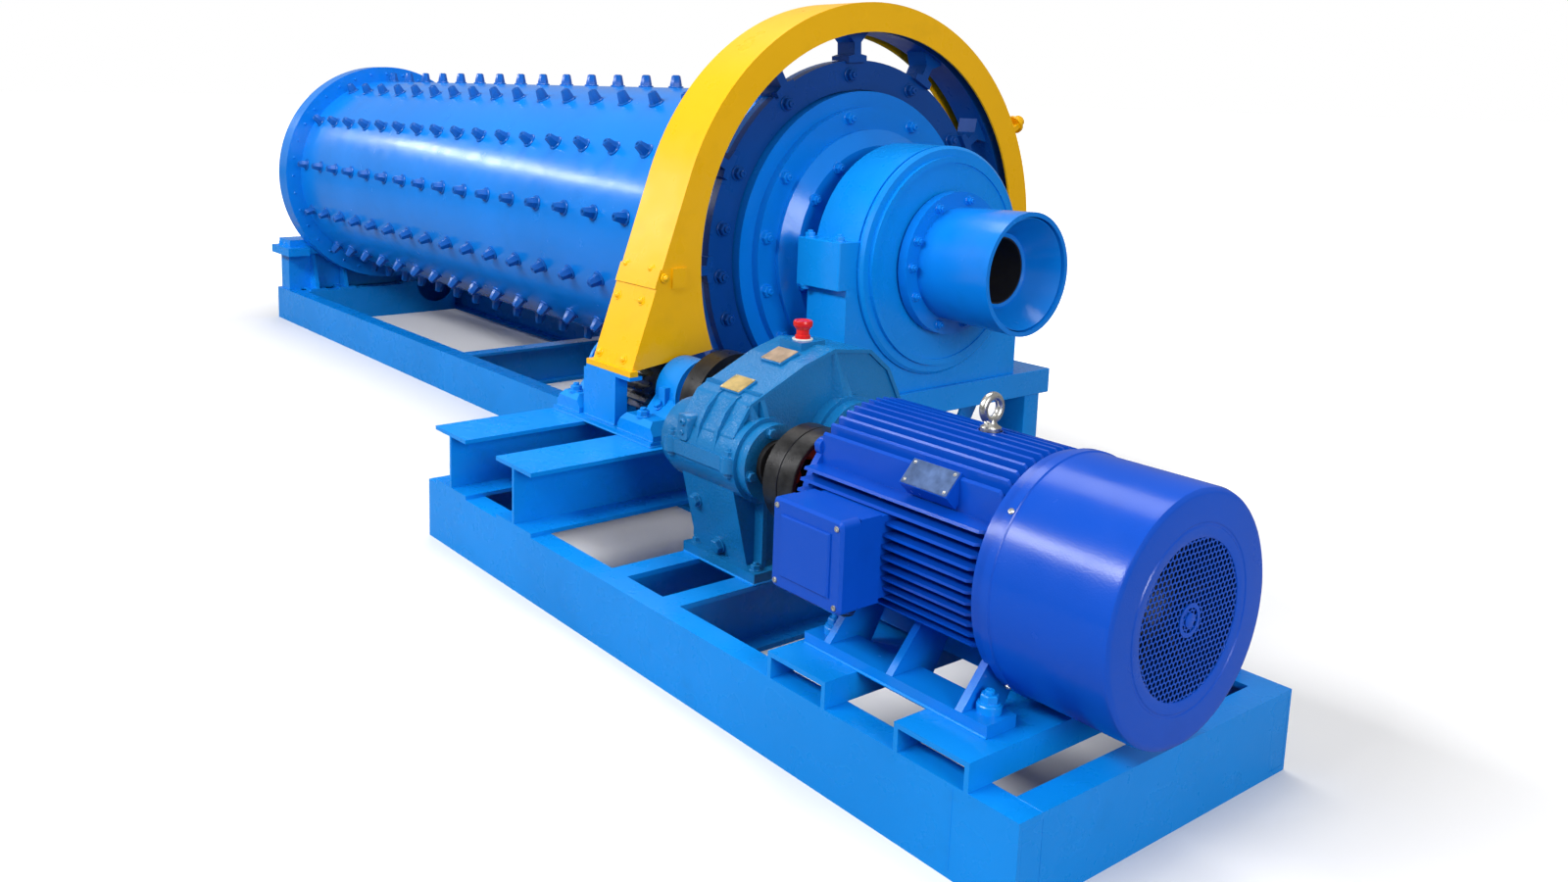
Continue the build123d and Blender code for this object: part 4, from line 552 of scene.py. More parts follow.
piece(
    "trumpet_bolts",
    set_at(stud_nut(0.0125), circle_places(*trumpet_circle, trumpet_angles), [x_axis]),
    drum_blue,
    "drum",
)
feed_flange_angles = np.arange(0, 360, 10)
piece(
    "feed_flange_screws",
    set_at(dome_head(0.007), circle_places(*feed_circle, feed_flange_angles), [x_axis]),
    drum_blue,
    "drum",
)

# Guard: dome screws on the strip either side of the seam and at the foot, one
# on the front tab, and the big dome nut on the split lugs of the right side
strip_out = (0.0, -0.9428, 0.3335)
strip_screws = [
    (3.4730, -0.7430, 0.7257),
    (3.5850, -0.7430, 0.7257),
    (3.4750, -0.7717, 0.6445),
    (3.5825, -0.7717, 0.6445),
    (3.4700, -0.8243, 0.4957),
    (3.5815, -0.8243, 0.4957),
]
tab_screw = (3.636, -0.7360, 0.7080)
guard_dome = dome_head(0.0135)
right_split = math.radians(29)
split_reach = 0.734
split_out = (0.0, math.cos(right_split), math.sin(right_split))
split_place = (3.601, split_reach * split_out[1], mill_axis + split_reach * split_out[2])
dome_nut = lathe(
    [
        (0.0290, -0.004),
        (0.0290, 0.005),
        (0.0265, 0.008),
        (0.0200, 0.008),
        (0.0195, 0.020),
        (0.0175, 0.028),
        (0.0120, 0.0335),
        (0.0040, 0.0350),
    ],
    24,
)
piece(
    "guard_screws",
    joined(
        set_at(guard_dome, strip_screws, [strip_out]),
        set_at(guard_dome, [tab_screw], [x_axis]),
        set_at(dome_nut, [split_place], [split_out]),
    ),
    guard_yellow,
    "frame",
)

# Pinion bearings: a stud and nut on each foot's flat, one on each leaning wing,
# and small screws on the cap flanges
foot_rows = (3.363, 3.681)
foot_spread, foot_top = 0.152, 0.368
wing_spread, wing_top = 0.103, 0.3885
wing_out = np.array((0.0, -0.62, 0.78))
foot_nuts = [
    (x, pinion_y + side * foot_spread, foot_top) for x in foot_rows for side in (-1, 1)
]
wing_nuts = [(x, pinion_y - wing_spread, wing_top) for x in foot_rows]
far_wing_nuts = [(x, pinion_y + wing_spread, wing_top) for x in foot_rows]
cap_front, cap_back, cap_circle = 3.740, 3.324, 0.064
cap_angles = np.arange(20, 380, 60)
piece(
    "pinion_bearing_bolts",
    joined(
        set_at(stud_nut(0.017), foot_nuts, [up]),
        set_at(hex_head(0.0125), wing_nuts, [wing_out]),
        set_at(hex_head(0.0125), far_wing_nuts, [wing_out * (1, -1, 1)]),
        set_at(
            hex_head(0.0095),
            circle_places(cap_front, cap_circle, cap_angles, pinion_y, drive_axis),
            [x_axis],
        ),
        set_at(
            hex_head(0.0095),
            circle_places(cap_back, cap_circle, cap_angles, pinion_y, drive_axis),
            [x_back],
        ),
    ),
    frame_blue,
    "frame",
)

# Gearbox: studs through the ears of the split, cap screws, foot nuts and plugs.
# Each shaft cap has its axis, circle, first angle in degrees and screws.
ear_x = (4.044, 4.242)
ear_y = (-1.0043, -0.8077, -0.5490, -0.4513)
ear_top, ear_foot = 0.431, 0.399
box_foot_places = grid_places((4.062, 4.2655), (-0.9440, -0.5275), (0.179,))
leg_out = (0.0, -0.971, -0.240)
gearbox_faces = ((4.289, x_axis), (3.997, x_back))
gearbox_shaft_caps = ((motor_y, 0.070, 103.4, 4), (pinion_y, 0.084, 108.5, 6))
cap_screws = []
for cap_y, circle, first, number in gearbox_shaft_caps:
    angles = first + 360 / number * np.arange(number)
    for x, axis in gearbox_faces:
        places = circle_places(x, circle, angles, cap_y, drive_axis)
        cap_screws.append(set_at(hex_head(0.0115), places, [axis]))
piece(
    "gearbox_fasteners",
    joined(
        set_at(stud_nut(0.0145), grid_places(ear_x, ear_y, (ear_top,)), [up]),
        set_at(hex_head(0.0135), grid_places(ear_x, ear_y, (ear_foot,)), [down]),
        set_at(stud_nut(0.0125), box_foot_places, [up]),
        set_at(hex_head(0.0175), [(4.150, -0.9520, 0.2010)], [leg_out]),
        set_at(hex_head(0.0150), [(4.0935, -0.9735, 0.2925)], [leg_out]),
        *cap_screws,
    ),
    hammered_blue,
    "frame",
)

# Gearbox casting: a lug with two sockets and two bent ribs on its nose
rib_outline = [
    (-1.012, 0.4310),
    (-0.960, 0.4310),
    (-0.936, 0.5420),
    (-0.941, 0.5445),
    (-0.953, 0.5400),
    (-0.982, 0.5130),
    (-1.002, 0.4760),
]
lug = set_at(
    slab(0.019, 0.030, 0.012, [(0, -0.03), (0, 0.012), (0.002, 0.015)]),
    [(4.0890, -1.0000, 0.4610)],
    [y_back],
)
piece(
    "gearbox_nose_castings",
    joined(
        lug,
        carried_along_x(rib_outline, 4.124, 4.134),
        carried_along_x(rib_outline, 4.186, 4.196),
        set_at(pan_screw(0.0085), [(4.0910, -1.0150, 0.4740)], [y_back]),
        set_at(pan_screw(0.0060), [(4.0880, -1.0150, 0.4500)], [y_back]),
    ),
    hammered_blue,
    "frame",
    sharp=50.0,
)

# Gearbox front wall: a raised edge under the hood, and two leaning ribs that
# widen from that edge down to the bosses of the shafts
wall_x = 4.236
wall_sink = 0.0005
edge_rise, edge_width = 0.0060, 0.009


def leaning_rib(foot, head, foot_sizes, head_sizes, rows=8):
    """Rib on the front wall: each row between two (y, z) points holds a trapezium
    with a half width at the wall, a half width at the ridge and a height off the
    wall, all three changing evenly from foot to head."""
    share = np.linspace(0, 1, rows)[:, None]
    middle = (1 - share) * foot + share * np.array(head)
    wide, narrow, height = ((1 - share) * foot_sizes + share * np.array(head_sizes)).T
    across = np.stack([wide, -wide, -narrow, narrow], 1)
    off = np.stack([0 * height, 0 * height, height, height], 1)
    points = np.stack(
        [wall_x - wall_sink + off, middle[:, :1] + across, middle[:, 1:] + 0 * off], -1
    )
    first = np.arange(4)
    caps = [first[None, ::-1], first[None] + (rows - 1) * 4]
    return points.reshape(-1, 3), [wrapped_quads(rows, 4), *caps]


hood_corners = np.array(
    [
        (-0.4995, 0.4910),
        (-0.5407, 0.5670),
        (-0.6020, 0.6160),
        (-0.7140, 0.6300),
        (-0.8005, 0.6050),
        (-0.9520, 0.5360),
        (-0.9980, 0.4700),
    ]
)
hood_middle = np.array((-0.745, 0.440))
inward = hood_middle - hood_corners
inward_length = np.linalg.norm(inward, axis=1, keepdims=True)
inner_corners = hood_corners + edge_width * inward / inward_length
hood_edge = [*hood_corners, *inner_corners[::-1]]
rib_head_sizes = (0.0070, 0.0030, 0.006)
piece(
    "gearbox_front_ribs",
    joined(
        carried_along_x(hood_edge, wall_x - wall_sink, wall_x + edge_rise),
        leaning_rib(
            (-0.686, 0.500), (-0.714, 0.627), (0.0260, 0.0080, 0.026), rib_head_sizes
        ),
        leaning_rib(
            (-0.934, 0.484), (-0.951, 0.534), (0.0220, 0.0070, 0.024), rib_head_sizes
        ),
    ),
    hammered_blue,
    "frame",
)

# Bare plates on pads of the hood and over the motor's fins. Each hood plate has
# its middle, lean in degrees, half sizes and the sides that are riveted: the
# upper one has no rivets.
hood_plates = (
    ((4.153, -0.9130, 0.5541), 24.5, 0.0325, 0.0255, (-1, 1)),
    ((4.156, -0.7985, 0.6055), 20.2, 0.0330, 0.0275, ()),
)
pad_margin, pad_sink, pad_height = 0.002, 0.002, 0.008
plate_lift, plate_thickness = 0.006, 0.0016
rivet_lift, rivet_inset = 0.0074, 0.004
lower_plate_out = (0, -0.4147, 0.9100)
pads, brasses, rivets = [], [], []
for place, lean, half_width, half_depth, riveted in hood_plates:
    tilt = math.radians(lean)
    out = np.array((0.0, -math.sin(tilt), math.cos(tilt)))
    along = np.array((0.0, math.cos(tilt), math.sin(tilt)))
    place = np.array(place)
    pad = plate_block(half_width + pad_margin, half_depth + pad_margin, pad_height)
    brass = plate_block(half_width, half_depth, plate_thickness, 0.002, 0.0004)
    pads.append(set_at(pad, [place - pad_sink * out], [out]))
    brasses.append(set_at(brass, [place + plate_lift * out], [out]))
    for across in riveted:
        for side in riveted:
            rivets.append(
                place
                + rivet_lift * out
                + across * (half_width - rivet_inset) * np.array(x_axis)
                + side * (half_depth - rivet_inset) * along
            )
piece("gearbox_plate_pads", joined(*pads), hammered_blue, "frame")
piece("gearbox_lower_plate", brasses[0], brass_plate, "frame")
piece("gearbox_upper_plate", brasses[1], worn_plate, "frame")
hood_rivets = set_at(dome_head(0.0019), rivets, [lower_plate_out])
name_turn = math.radians(136)
name_reach, name_thickness = 0.207, 0.0018
name_rivet_x, name_rivet_side = 0.0435, 0.018
name_out = np.array((0.0, math.cos(name_turn), math.sin(name_turn)))
name_along = np.array((0.0, -math.sin(name_turn), math.cos(name_turn)))
name_middle = np.array((4.8445, motor_y, drive_axis)) + name_reach * name_out
piece(
    "motor_name_plate",
    set_at(plate_block(0.0505, 0.0245, name_thickness, 0.003, 0.0005), [name_middle], [name_out]),
    blued_plate,
    "frame",
)
name_rivets = [
    name_middle
    + name_thickness * name_out
    + a * name_rivet_x * np.array(x_axis)
    + s * name_rivet_side * name_along
    for a in (-1, 1)
    for s in (-1, 1)
]

# Gearbox breather: a flared cap, its neck and collar, on a pale washer
breather_place = (4.143, -0.7219, 0.636)
breather_cap = lathe(
    [
        (0.0175, 0.002),
        (0.0175, 0.009),
        (0.0145, 0.012),
        (0.0145, 0.022),
        (0.0200, 0.029),
        (0.0220, 0.032),
        (0.0220, 0.040),
        (0.0205, 0.0435),
        (0.0150, 0.0440),
        (0.0140, 0.0425),
    ],
    28,
)
piece(
    "breather_cap",
    set_at(breather_cap, [breather_place], [up]),
    cap_red,
    "frame",
    stands_for=("gearbox_breather",),
)
breather_washer = lathe([(0.0235, -0.001), (0.0235, 0.002), (0.0225, 0.0028)], 28)
piece(
    "breather_washer",
    set_at(breather_washer, [breather_place], [up]),
    pale_plastic,
    "frame",
)

# Gearbox shaft seals: a black ring round each shaft, against its cap
def sleeve(inner, outer, end):
    """Profile of a tube from Z = 0 to end between two radii, bevelled outside."""
    bevel = 0.002
    return [(inner, 0.0), (outer, 0.0), (outer, end - bevel), (outer - bevel, end), (inner, end)]


input_seal = tube_ring(sleeve(0.0245, 0.052, 0.012), 32)
output_seal = tube_ring(sleeve(0.0345, 0.062, 0.010), 32)
piece(
    "shaft_seals",
    joined(
        set_at(input_seal, [(4.288, motor_y, drive_axis)], [x_axis]),
        set_at(output_seal, [(3.998, pinion_y, drive_axis)], [x_back]),
    ),
    black_rubber,
    "frame",
)

# Output coupling: big bare nuts in the dished rim and on its back
def coupling_pin(stud, reach):
    """Nut with its washer, on a collar that goes down by the reach."""
    collar = lathe([(0.0165, -reach), (0.0165, -0.002), (0.0150, 0.0)], 20)
    return joined(collar, stud_nut(stud))


pin_angles = np.arange(6) * 60.0 + 10
output_circle = 0.086
output_pin_places = circle_places(3.868, output_circle, pin_angles, pinion_y, drive_axis)
output_back_places = circle_places(3.800, output_circle, pin_angles, pinion_y, drive_axis)
piece(
    "output_coupling_pins",
    joined(
        set_at(coupling_pin(0.019, 0.024), output_pin_places, [x_axis]),
        set_at(coupling_pin(0.021, 0.004), output_back_places, [x_back]),
    ),
    turned_steel,
    "pinion_shaft",
)

# Motor coupling: grooved rim round a deep dark dish, primed cones and flat
# heads in it, nuts behind it, the primed half on the motor's side and a primed
# band round the hub
coupling_foot = (4.330, motor_y, drive_axis)
coupling_form = [
    (0.0252, 0.0),
    (0.0485, 0.0),
    (0.0497, 0.0015),
    (0.0497, 0.0430),
    (0.1060, 0.0430),
    (0.1080, 0.0450),
    (0.1080, 0.0850),
    (0.1062, 0.0860),
    (0.1062, 0.0880),
    (0.1080, 0.0890),
    (0.1080, 0.1290),
    (0.1065, 0.1310),
    (0.0985, 0.1310),
    (0.0965, 0.1290),
    (0.0940, 0.0800),
    (0.0560, 0.0780),
    (0.0497, 0.0840),
    (0.0497, 0.1390),
    (0.0485, 0.1400),
    (0.0252, 0.1400),
]
piece(
    "dished_motor_coupling",
    set_at(tube_ring(coupling_form, 72), [coupling_foot], [x_axis]),
    black_iron,
    "motor_rotor",
    stands_for=("motor_coupling",),
)
pin_cone = [
    (0.0150, -0.002),
    (0.0180, 0.003),
    (0.0180, 0.012),
    (0.0125, 0.030),
    (0.0100, 0.033),
]
pin_disc = [
    (0.0150, -0.002),
    (0.0150, 0.022),
    (0.0135, 0.0240),
    (0.0120, 0.0240),
    (0.0115, 0.0230),
]
dish_circle, dish_floor, dish_back = 0.0740, 4.409, 4.373
cone_angles = 118 + 90 * np.arange(4)
disc_angles = 163 + 90 * np.arange(4)
back_angles = 118 + 45 * np.arange(8)
cone_places = circle_places(dish_floor, dish_circle, cone_angles, motor_y, drive_axis)
disc_places = circle_places(dish_floor, dish_circle, disc_angles, motor_y, drive_axis)
back_places = circle_places(dish_back, dish_circle, back_angles, motor_y, drive_axis)
primed_half = [
    (0.0252, 0.0),
    (0.0520, 0.0),
    (0.0560, 0.0060),
    (0.0800, 0.0080),
    (0.0820, 0.0100),
    (0.0820, 0.0200),
    (0.0800, 0.0220),
    (0.0252, 0.0220),
]
hub_band = [(0.0500, 0.0), (0.0512, 0.0015), (0.0512, 0.0385), (0.0500, 0.0400)]
piece(
    "primed_coupling_parts",
    joined(
        set_at(lathe(pin_cone, 24), cone_places, [x_axis]),
        set_at(lathe(pin_disc, 24), disc_places, [x_axis]),
        set_at(stud_nut(0.015), back_places, [x_back]),
        set_at(tube_ring(primed_half, 64), [(4.4720, motor_y, drive_axis)], [x_axis]),
        set_at(tube_ring(hub_band, 48), [(4.331, motor_y, drive_axis)], [x_axis]),
    ),
    red_primer,
    "motor_rotor",
)

# Motor: collared nuts on the feet, ear bolts, screws of the lid and cowl, rivets
# and the glands under the terminal box
motor_foot_spread, motor_foot_top, ear_circle = 0.178, 0.226, 0.178
motor_foot_places = grid_places(
    (4.6690, 5.0180),
    (motor_y - motor_foot_spread, motor_y + motor_foot_spread),
    (motor_foot_top,),
)
ear_reach = ear_circle * math.sqrt(0.5)
ear_fronts, ear_backs = (
    [(x, motor_y + a * ear_reach, drive_axis + b * ear_reach) for a in (-1, 1) for b in (-1, 1)]
    for x in (4.558, 4.572)
)
foot_collar = lathe([(0.0205, -0.002), (0.0205, 0.012), (0.0190, 0.014)], 20)
foot_nut = set_at(stud_nut(0.0165), [(0, 0, 0.0135)], [up])
piece(
    "motor_foot_bolts",
    set_at(joined(foot_collar, foot_nut), motor_foot_places, [up]),
    frame_blue,
    "frame",
)
piece(
    "motor_ear_bolts",
    joined(
        set_at(stud_nut(0.0105), ear_fronts, [x_back]),
        set_at(hex_head(0.0105), ear_backs, [x_axis]),
    ),
    motor_blue,
    "frame",
)
lid_places = grid_places((4.6400, 4.7880), (-1.2216,), (0.3445, 0.4815))
cowl_screw_x, cowl_reach = 5.021, 0.2095
cowl_angles = (49, 139, 229, 311)
cowl_places = circle_places(cowl_screw_x, cowl_reach, cowl_angles, motor_y, drive_axis)
cowl_axes = (cowl_places - (cowl_screw_x, motor_y, drive_axis)) / cowl_reach
piece(
    "bright_screws",
    joined(
        set_at(pan_screw(0.0052), lid_places, [y_back]),
        set_at(pan_screw(0.0055), cowl_places, cowl_axes),
        set_at(dome_head(0.0034), name_rivets, [name_out]),
        hood_rivets,
    ),
    zinc,
    "frame",
)
gland = joined(
    lathe([(0.0205, 0.0), (0.0205, 0.011), (0.0190, 0.013)], hexagon),
    lathe([(0.0175, 0.012), (0.0175, 0.020), (0.0150, 0.026), (0.0120, 0.0285)], 18),
)
piece(
    "cable_glands",
    set_at(gland, [(x, -1.1518, 0.3305) for x in (4.6792, 4.7453)], [down]),
    black_iron,
    "frame",
)

# Eye bolt: a forged ring on its collar, and the motor's round boss under them
eye_middle = (4.843, motor_y, 0.657)
eye_collar = lathe(
    [
        (0.0110, -0.0420),
        (0.0185, -0.0400),
        (0.0185, -0.0330),
        (0.0120, -0.0290),
        (0.0090, -0.0230),
        (0.0085, -0.0180),
    ],
    24,
)
eye_boss = lathe([(0.0220, -0.0560), (0.0220, -0.0410), (0.0205, -0.0390)], 28)
piece(
    "eye_bolt",
    joined(
        set_at(tube_ring(circle_profile(0.0215, 0.0076, 14), 40), [eye_middle], [x_axis]),
        set_at(eye_collar, [eye_middle], [up]),
    ),
    zinc,
    "frame",
    sharp=50.0,
    stands_for=("motor_eye_bolt",),
)
piece("eye_bolt_boss", set_at(eye_boss, [eye_middle], [up]), motor_blue, "frame")


# Fan cowl: drawn shell with a pressed ring, and a wall of fine hexagon holes
def honeycomb(pitch, hole, reach, thickness):
    """Perforated sheet about Z. Hexagon cells on a triangular grid, each a ring
    of quads from its border in to a smaller hexagon hole and through to the
    back; the middle cell and those past reach are left out."""
    steps = int(reach / pitch) + 3
    i, j = (a.ravel() for a in np.mgrid[-steps : steps + 1, -steps : steps + 1])
    centres = np.column_stack([pitch * (i + j / 2), pitch * j * math.sqrt(3) / 2])
    away = np.hypot(*centres.T)
    centres = centres[(away < reach) & (away > 0)]
    turns = np.radians(30 + 60 * np.arange(6))
    ring = np.column_stack([np.cos(turns), np.sin(turns)])
    rows = [
        (pitch / math.sqrt(3), -thickness),
        (pitch / math.sqrt(3), 0),
        (hole, 0),
        (hole, -thickness),
    ]
    cell = np.concatenate([np.column_stack([ring * r, np.full(6, z)]) for r, z in rows])
    points = cell[None] + np.column_stack([centres, 0 * centres[:, 0]])[:, None]
    quads = wrapped_quads(5, 6) % 24
    shifts = 24 * np.arange(len(centres))
    faces = (quads[None] + shifts[:, None, None]).reshape(-1, 4)
    return points.reshape(-1, 3), [faces]


cowl_shell = [
    (0.2030, 0.000),
    (0.2100, 0.000),
    (0.2100, 0.0155),
    (0.2075, 0.0170),
    (0.2070, 0.0180),
    (0.2070, 0.2170),
    (0.2050, 0.2225),
    (0.2000, 0.2255),
    (0.1950, 0.2260),
    (0.1530, 0.2260),
    (0.1510, 0.2245),
    (0.1480, 0.2245),
    (0.1460, 0.2260),
    (0.1310, 0.2260),
    (0.1285, 0.2250),
    (0.1280, 0.2235),
    (0.1280, 0.2225),
    (0.2020, 0.2220),
    (0.2033, 0.2100),
]
grille_hub = joined(
    tube_ring([(0.0200, -0.001), (0.0270, -0.001), (0.0270, 0.0012), (0.0200, 0.0012)], 36),
    lathe([(0.0120, -0.001), (0.0120, 0.0015), (0.0100, 0.0025), (0.0040, 0.0030)], 24),
)
cowl_foot = (5.012, motor_y, drive_axis)
grille_place = (5.2362, motor_y, drive_axis)
piece(
    "fan_cowl",
    joined(
        set_at(tube_ring(cowl_shell, 96), [cowl_foot], [x_axis]),
        set_at(honeycomb(0.0106, 0.0046, 0.1335, 0.0012), [grille_place], [x_axis]),
        set_at(grille_hub, [grille_place], [x_axis]),
    ),
    motor_blue,
    "frame",
    stands_for=("motor_fan_cowl",),
)

# Discharge bearing: grooved round housing, and a lug on either side that stands
# on the column of the pedestal
bearing_ring = [
    (0.1503, 0.0),
    (0.3030, 0.0),
    (0.3120, 0.0090),
    (0.3120, 0.1650),
    (0.3070, 0.1650),
    (0.3070, 0.1730),
    (0.3120, 0.1730),
    (0.3120, 0.1800),
    (0.3040, 0.1870),
    (0.1503, 0.1870),
]
lug_block = slab(
    0.0805, 0.0455, 0.006, [(0.0015, 0.0), (0.0, 0.0015), (0.0, 0.1245), (0.0015, 0.1260)]
)
column_top = slab(0.0735, 0.0225, 0.003, [(0.0, 0.0), (0.0, 0.0180)])
piece(
    "discharge_bearing",
    joined(
        set_at(tube_ring(bearing_ring, 128), [(3.721, 0.0, mill_axis)], [x_axis]),
        set_at(lug_block, mirrored([(3.8115, -0.3305, 0.680)]), [up]),
        set_at(column_top, mirrored([(3.8185, -0.3225, 0.664)]), [up]),
    ),
    frame_blue,
    "frame",
    stands_for=("discharge_bearing_housing",),
)

# Discharge pedestal: a web with two columns that holds the housing from below,
# on a girder with two stands
seat_radius = 0.3124
seat_drop = 0.072
seat_end = math.asin(seat_drop / seat_radius)
seat_turns = np.linspace(-seat_end, seat_end - np.pi, 40)
seat_z = mill_axis + seat_radius * np.sin(seat_turns)
seat = np.column_stack([seat_radius * np.cos(seat_turns), seat_z])
web_outline = [(-0.345, 0.664), (-0.345, 0.3815), (0.345, 0.3815), (0.345, 0.664), *seat]
girder = slab(
    0.091, 0.4955, 0.003, [(0.0015, 0.0), (0.0, 0.0015), (0.0, 0.0705), (0.0015, 0.0720)]
)
stand = slab(0.053, 0.0325, 0.003, [(0.0, 0.0), (0.0, 0.1555)])
piece(
    "discharge_stand",
    joined(
        carried_along_x(web_outline, 3.745, 3.892),
        set_at(girder, [(3.816, 0.0, 0.310)], [up]),
        set_at(stand, mirrored([(3.843, -0.4345, 0.155)]), [up]),
    ),
    frame_blue,
    "frame",
    stands_for=("discharge_pedestal",),
)

# Trumpet lining: a tube that opens as a bell to the mouth, with a lip at the
# narrow end of the bell
lining = [
    (0.0880, 0.0),
    (0.1375, 0.0),
    (0.1450, 0.2120),
    (0.1450, 0.2145),
    (0.1430, 0.2150),
    (0.0975, 0.1365),
    (0.0950, 0.1380),
    (0.0880, 0.1340),
]
piece(
    "trumpet_lining",
    set_at(tube_ring(lining, 80), [(3.966, 0.0, mill_axis)], [x_axis]),
    drum_blue,
    "drum",
)

# Black sleeve in the narrow end of the lining: painted shade, a dark tube that stands in for the
# shade deep in the bore
shade_sleeve = [(0.0845, 0.0), (0.0878, 0.0), (0.0878, 0.1320), (0.0845, 0.1320)]
piece(
    "trumpet_shade_sleeve",
    set_at(tube_ring(shade_sleeve, 64), [(3.966, 0.0, mill_axis)], [x_axis]),
    black_rubber,
    "drum",
)

# Bolts of the discharge bearing's lugs, and bolts and nuts on the feed plate
lug_top_nuts = mirrored([(3.762, -0.3580, 0.806), (3.872, -0.3580, 0.806)])
lug_low_nuts = mirrored([(3.757, -0.3640, 0.680)])
feed_nuts = mirrored(grid_places((0.030, 0.100), (-0.460, -0.390), (0.376,)))
piece(
    "bearing_bolts",
    joined(
        set_at(stud_nut(0.0145), lug_top_nuts, [up]),
        set_at(hex_head(0.0120), lug_low_nuts, [down]),
        set_at(stud_nut(0.0200), feed_nuts, [up]),
    ),
    frame_blue,
    "frame",
)

# Plates that close the open ends of the side beams, flush with their ends
mill_plate = plate_block(0.0285, 0.0665, 0.006, 0.002, 0.0008)
skid_plate = plate_block(0.0235, 0.0665, 0.006, 0.002, 0.0008)
mill_ends = mirrored([(0.0, -0.4305, 0.0775)])
skid_ends = np.array([(0.0, -1.1853, 0.0775), (0.0, -0.4985, 0.0775)])
piece(
    "beam_end_plates",
    joined(
        set_at(mill_plate, mill_ends + (3.894, 0, 0), [x_axis]),
        set_at(mill_plate, mill_ends + (-0.031, 0, 0), [x_back]),
        set_at(skid_plate, skid_ends + (5.173, 0, 0), [x_axis]),
        set_at(skid_plate, skid_ends + (3.257, 0, 0), [x_back]),
    ),
    frame_blue,
    "frame",
)

# Weld beads where plates meet the frames, and two thin joint lines at the end
# of the drive skid
bead = 0.0035
joint = 0.0013
weld_lines = [
    ((3.303, -0.8648, 0.3110), (3.763, -0.8648, 0.3110)),
    ((3.763, -0.8648, 0.3110), (3.763, -0.5100, 0.3110)),
    ((3.426, -0.846, 0.3230), (3.576, -0.846, 0.3230)),
    ((3.306, -0.8558, 0.3230), (3.420, -0.8558, 0.3230)),
    ((3.602, -0.8558, 0.3230), (3.760, -0.8558, 0.3230)),
    ((4.041, -0.9668, 0.1560), (4.287, -0.9668, 0.1560)),
    ((4.288, -0.9668, 0.1560), (4.288, -0.5048, 0.1560)),
    ((4.633, motor_y - 0.220, 0.2050), (5.050, motor_y - 0.220, 0.2050)),
]
piece(
    "weld_beads",
    joined(
        *(weld_bead(start, end, bead) for start, end in weld_lines),
        weld_bead((5.054, -1.2168, 0.012), (5.054, -1.2168, 0.150), joint),
        weld_bead((5.124, -1.1630, 0.155), (5.178, -1.1630, 0.155), joint),
    ),
    frame_blue,
    "frame",
    sharp=60.0,
)


# Floor and light. The floor's glow starts and is full at these shares of an
# ellipse round the mill.
floor_middle = (2.6, -0.45)
floor_halves = (3.0, 1.35)
glow_start, glow_full = 0.9, 1.9
floor_reach = 80.0
pale_grey, paler_grey = (0.80, 0.80, 0.81), (0.83, 0.83, 0.83)
sent_grey = (0.25, 0.26, 0.28)


def pale_floor():
    """Matt floor that keeps the mill's shadow: pale where the camera sees it,
    greyer for the light it sends back. Seen by the camera it gains white of its
    own, none under the mill and more further out, so that it meets the sky."""
    n = Nodes("pale_floor")
    rays = n.tree.nodes.new("ShaderNodeLightPath")
    seen = rays.outputs["Is Camera Ray"]
    pale = n.blend(n.spread(n.noise(0.7), 0.0, 1.0), pale_grey, paler_grey)
    n.link(n.blend(seen, sent_grey, pale), n.shader.inputs["Base Color"])
    n.shader.inputs["Roughness"].default_value = 0.9
    n.shader.inputs["Specular IOR Level"].default_value = 0.1
    ellipse = n.tree.nodes.new("ShaderNodeMapping")
    ellipse.vector_type = "TEXTURE"
    ellipse.inputs["Location"].default_value = (*floor_middle, 0.0)
    ellipse.inputs["Scale"].default_value = (*floor_halves, 1.0)
    away = n.tree.nodes.new("ShaderNodeVectorMath")
    away.operation = "LENGTH"
    n.link(n.where, ellipse.inputs["Vector"])
    n.link(ellipse.outputs["Vector"], away.inputs[0])
    glow = n.spread(away.outputs["Value"], 0.0, 1.0, glow_start, glow_full)
    seen_glow = n.tree.nodes.new("ShaderNodeMath")
    seen_glow.operation = "MULTIPLY"
    n.link(glow, seen_glow.inputs[0])
    n.link(seen, seen_glow.inputs[1])
    n.link(seen_glow.outputs[0], n.shader.inputs["Emission Strength"])
    n.shader.inputs["Emission Color"].default_value = (1.0, 1.0, 1.0, 1.0)
    return n.material


floor_corners = [(-1, -1, 0), (1, -1, 0), (1, 1, 0), (-1, 1, 0)]
floor_mesh = bpy.data.meshes.new("floor")
floor_mesh.from_pydata((np.array(floor_corners) * floor_reach).tolist(), [], [(0, 1, 2, 3)])
floor_mesh.materials.append(pale_floor())
floor = bpy.data.objects.new("floor", floor_mesh)
bpy.context.collection.objects.link(floor)


def placed_turn(turn, place):
    """Object matrix from a rotation and a place."""
    return Matrix([[*row, shift] for row, shift in zip(turn.tolist(), place)] + [(0, 0, 0, 1)])


def softbox(name, place, aim, length, width, watts):
    """Area lamp that faces a point, its long side level."""
    lamp = bpy.data.lights.new(name, "AREA")
    lamp.shape = "RECTANGLE"
    lamp.size = length
    lamp.size_y = width
    lamp.energy = watts
    holder = bpy.data.objects.new(name, lamp)
    bpy.context.collection.objects.link(holder)
    turn = turned_to(np.array(place, float) - np.array(aim, float))[0]
    holder.matrix_world = placed_turn(turn, place)


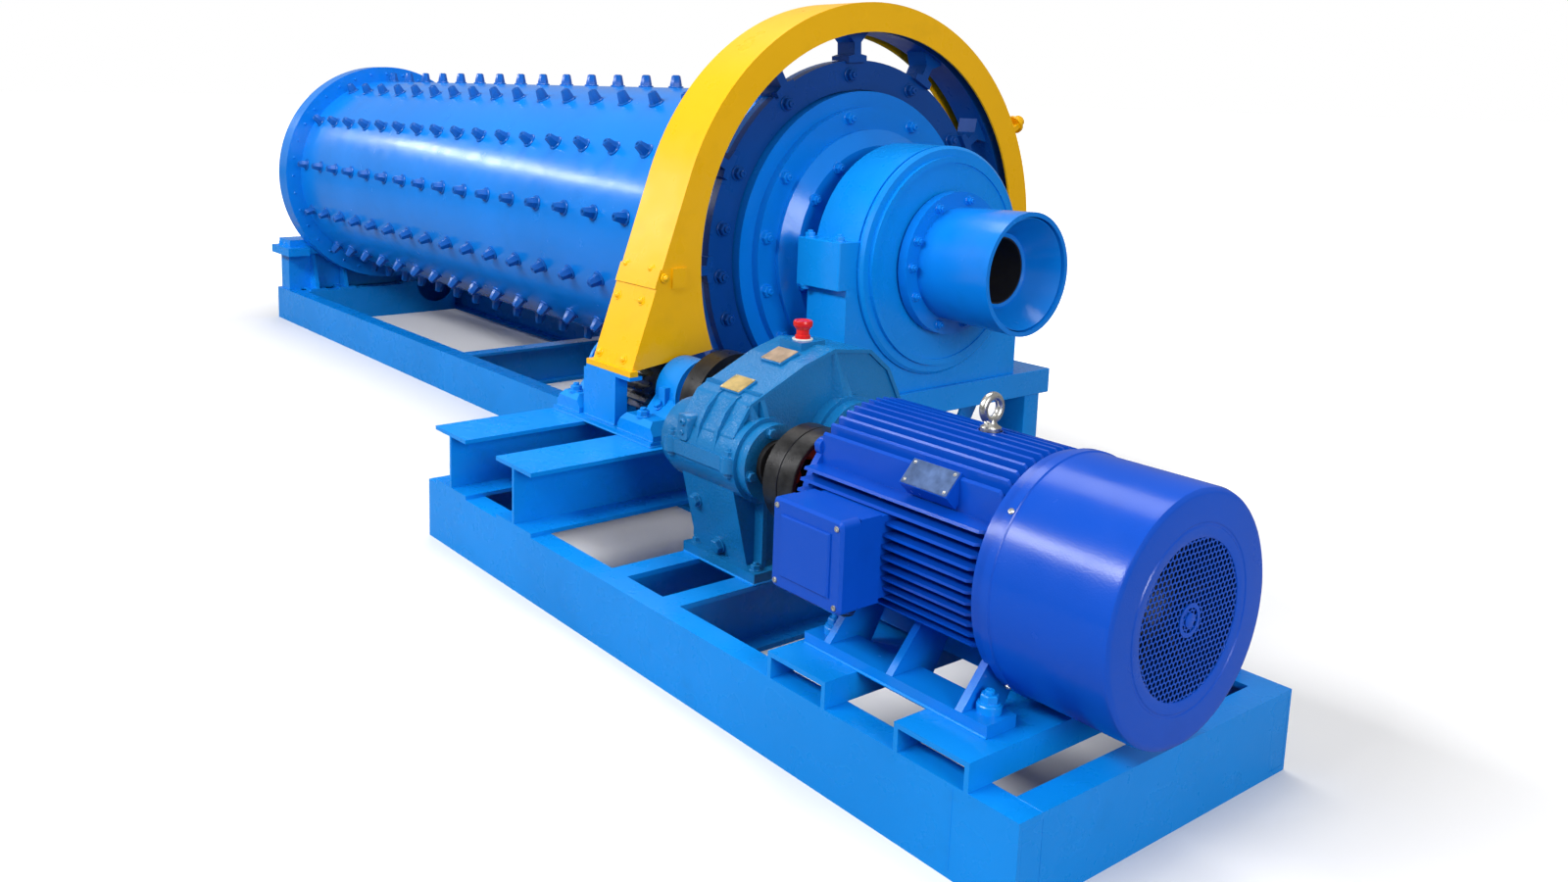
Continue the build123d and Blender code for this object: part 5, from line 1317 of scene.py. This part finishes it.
softbox("side_lamp", (2.6, -6.0, 4.6), (2.4, -0.3, 0.6), 6.0, 1.2, 470.0)
softbox("top_lamp", (2.2, 0.6, 6.5), (2.2, -0.2, 0.6), 7.0, 2.4, 240.0)
softbox("streak_lamp", (-6.06, -4.7, 3.81), (2.5, -0.42, 0.9), 4.0, 0.5, 110.0)
softbox("end_lamp", (10.5, -2.2, 2.6), (4.0, -0.5, 0.6), 2.4, 2.4, 230.0)

sky_seen, sky_light = 1.0, 0.34
world = bpy.data.worlds.new("studio")
bpy.context.scene.world = world
world.use_nodes = True
sky = world.node_tree.nodes["Background"]
sky.inputs["Color"].default_value = (1.0, 1.0, 1.0, 1.0)
rays = world.node_tree.nodes.new("ShaderNodeLightPath")
seen = world.node_tree.nodes.new("ShaderNodeMapRange")
seen.inputs["To Min"].default_value = sky_light
seen.inputs["To Max"].default_value = sky_seen
world.node_tree.links.new(rays.outputs["Is Camera Ray"], seen.inputs["Value"])
world.node_tree.links.new(seen.outputs["Result"], sky.inputs["Strength"])
bpy.context.scene.view_settings.view_transform = "Standard"

# Camera at the photograph's place, turned by heading, drop and roll
camera_place = (6.228, -2.637, 1.1946)
camera_heading = 54.015
camera_drop = 9.471
camera_roll = 1.081
photo_width = 1600
photo_height = 900
focal_pixels = 1298.8
optical_centre = (672.6, 303.3)


def camera_turn(heading, drop, roll):
    """Columns are the camera's right, up and back directions. Heading 0 looks
    along +Y and 90 along -X."""
    h, d, r = (math.radians(a) for a in (heading, drop, roll))
    ahead = np.array([-math.sin(h) * math.cos(d), math.cos(h) * math.cos(d), -math.sin(d)])
    level = np.cross(ahead, up)
    level /= np.linalg.norm(level)
    above = np.cross(level, ahead)
    right = math.cos(r) * level + math.sin(r) * above
    return np.stack([right, np.cross(right, ahead), -ahead], -1)


camera_data = bpy.data.cameras.new("camera")
camera_data.sensor_width = 36.0
camera_data.lens = camera_data.sensor_width * focal_pixels / photo_width
camera_data.shift_x = (photo_width / 2 - optical_centre[0]) / photo_width
camera_data.shift_y = (optical_centre[1] - photo_height / 2) / photo_width
camera = bpy.data.objects.new("camera", camera_data)
bpy.context.collection.objects.link(camera)
turn = camera_turn(camera_heading, camera_drop, camera_roll)
camera.matrix_world = placed_turn(turn, camera_place)
bpy.context.scene.camera = camera
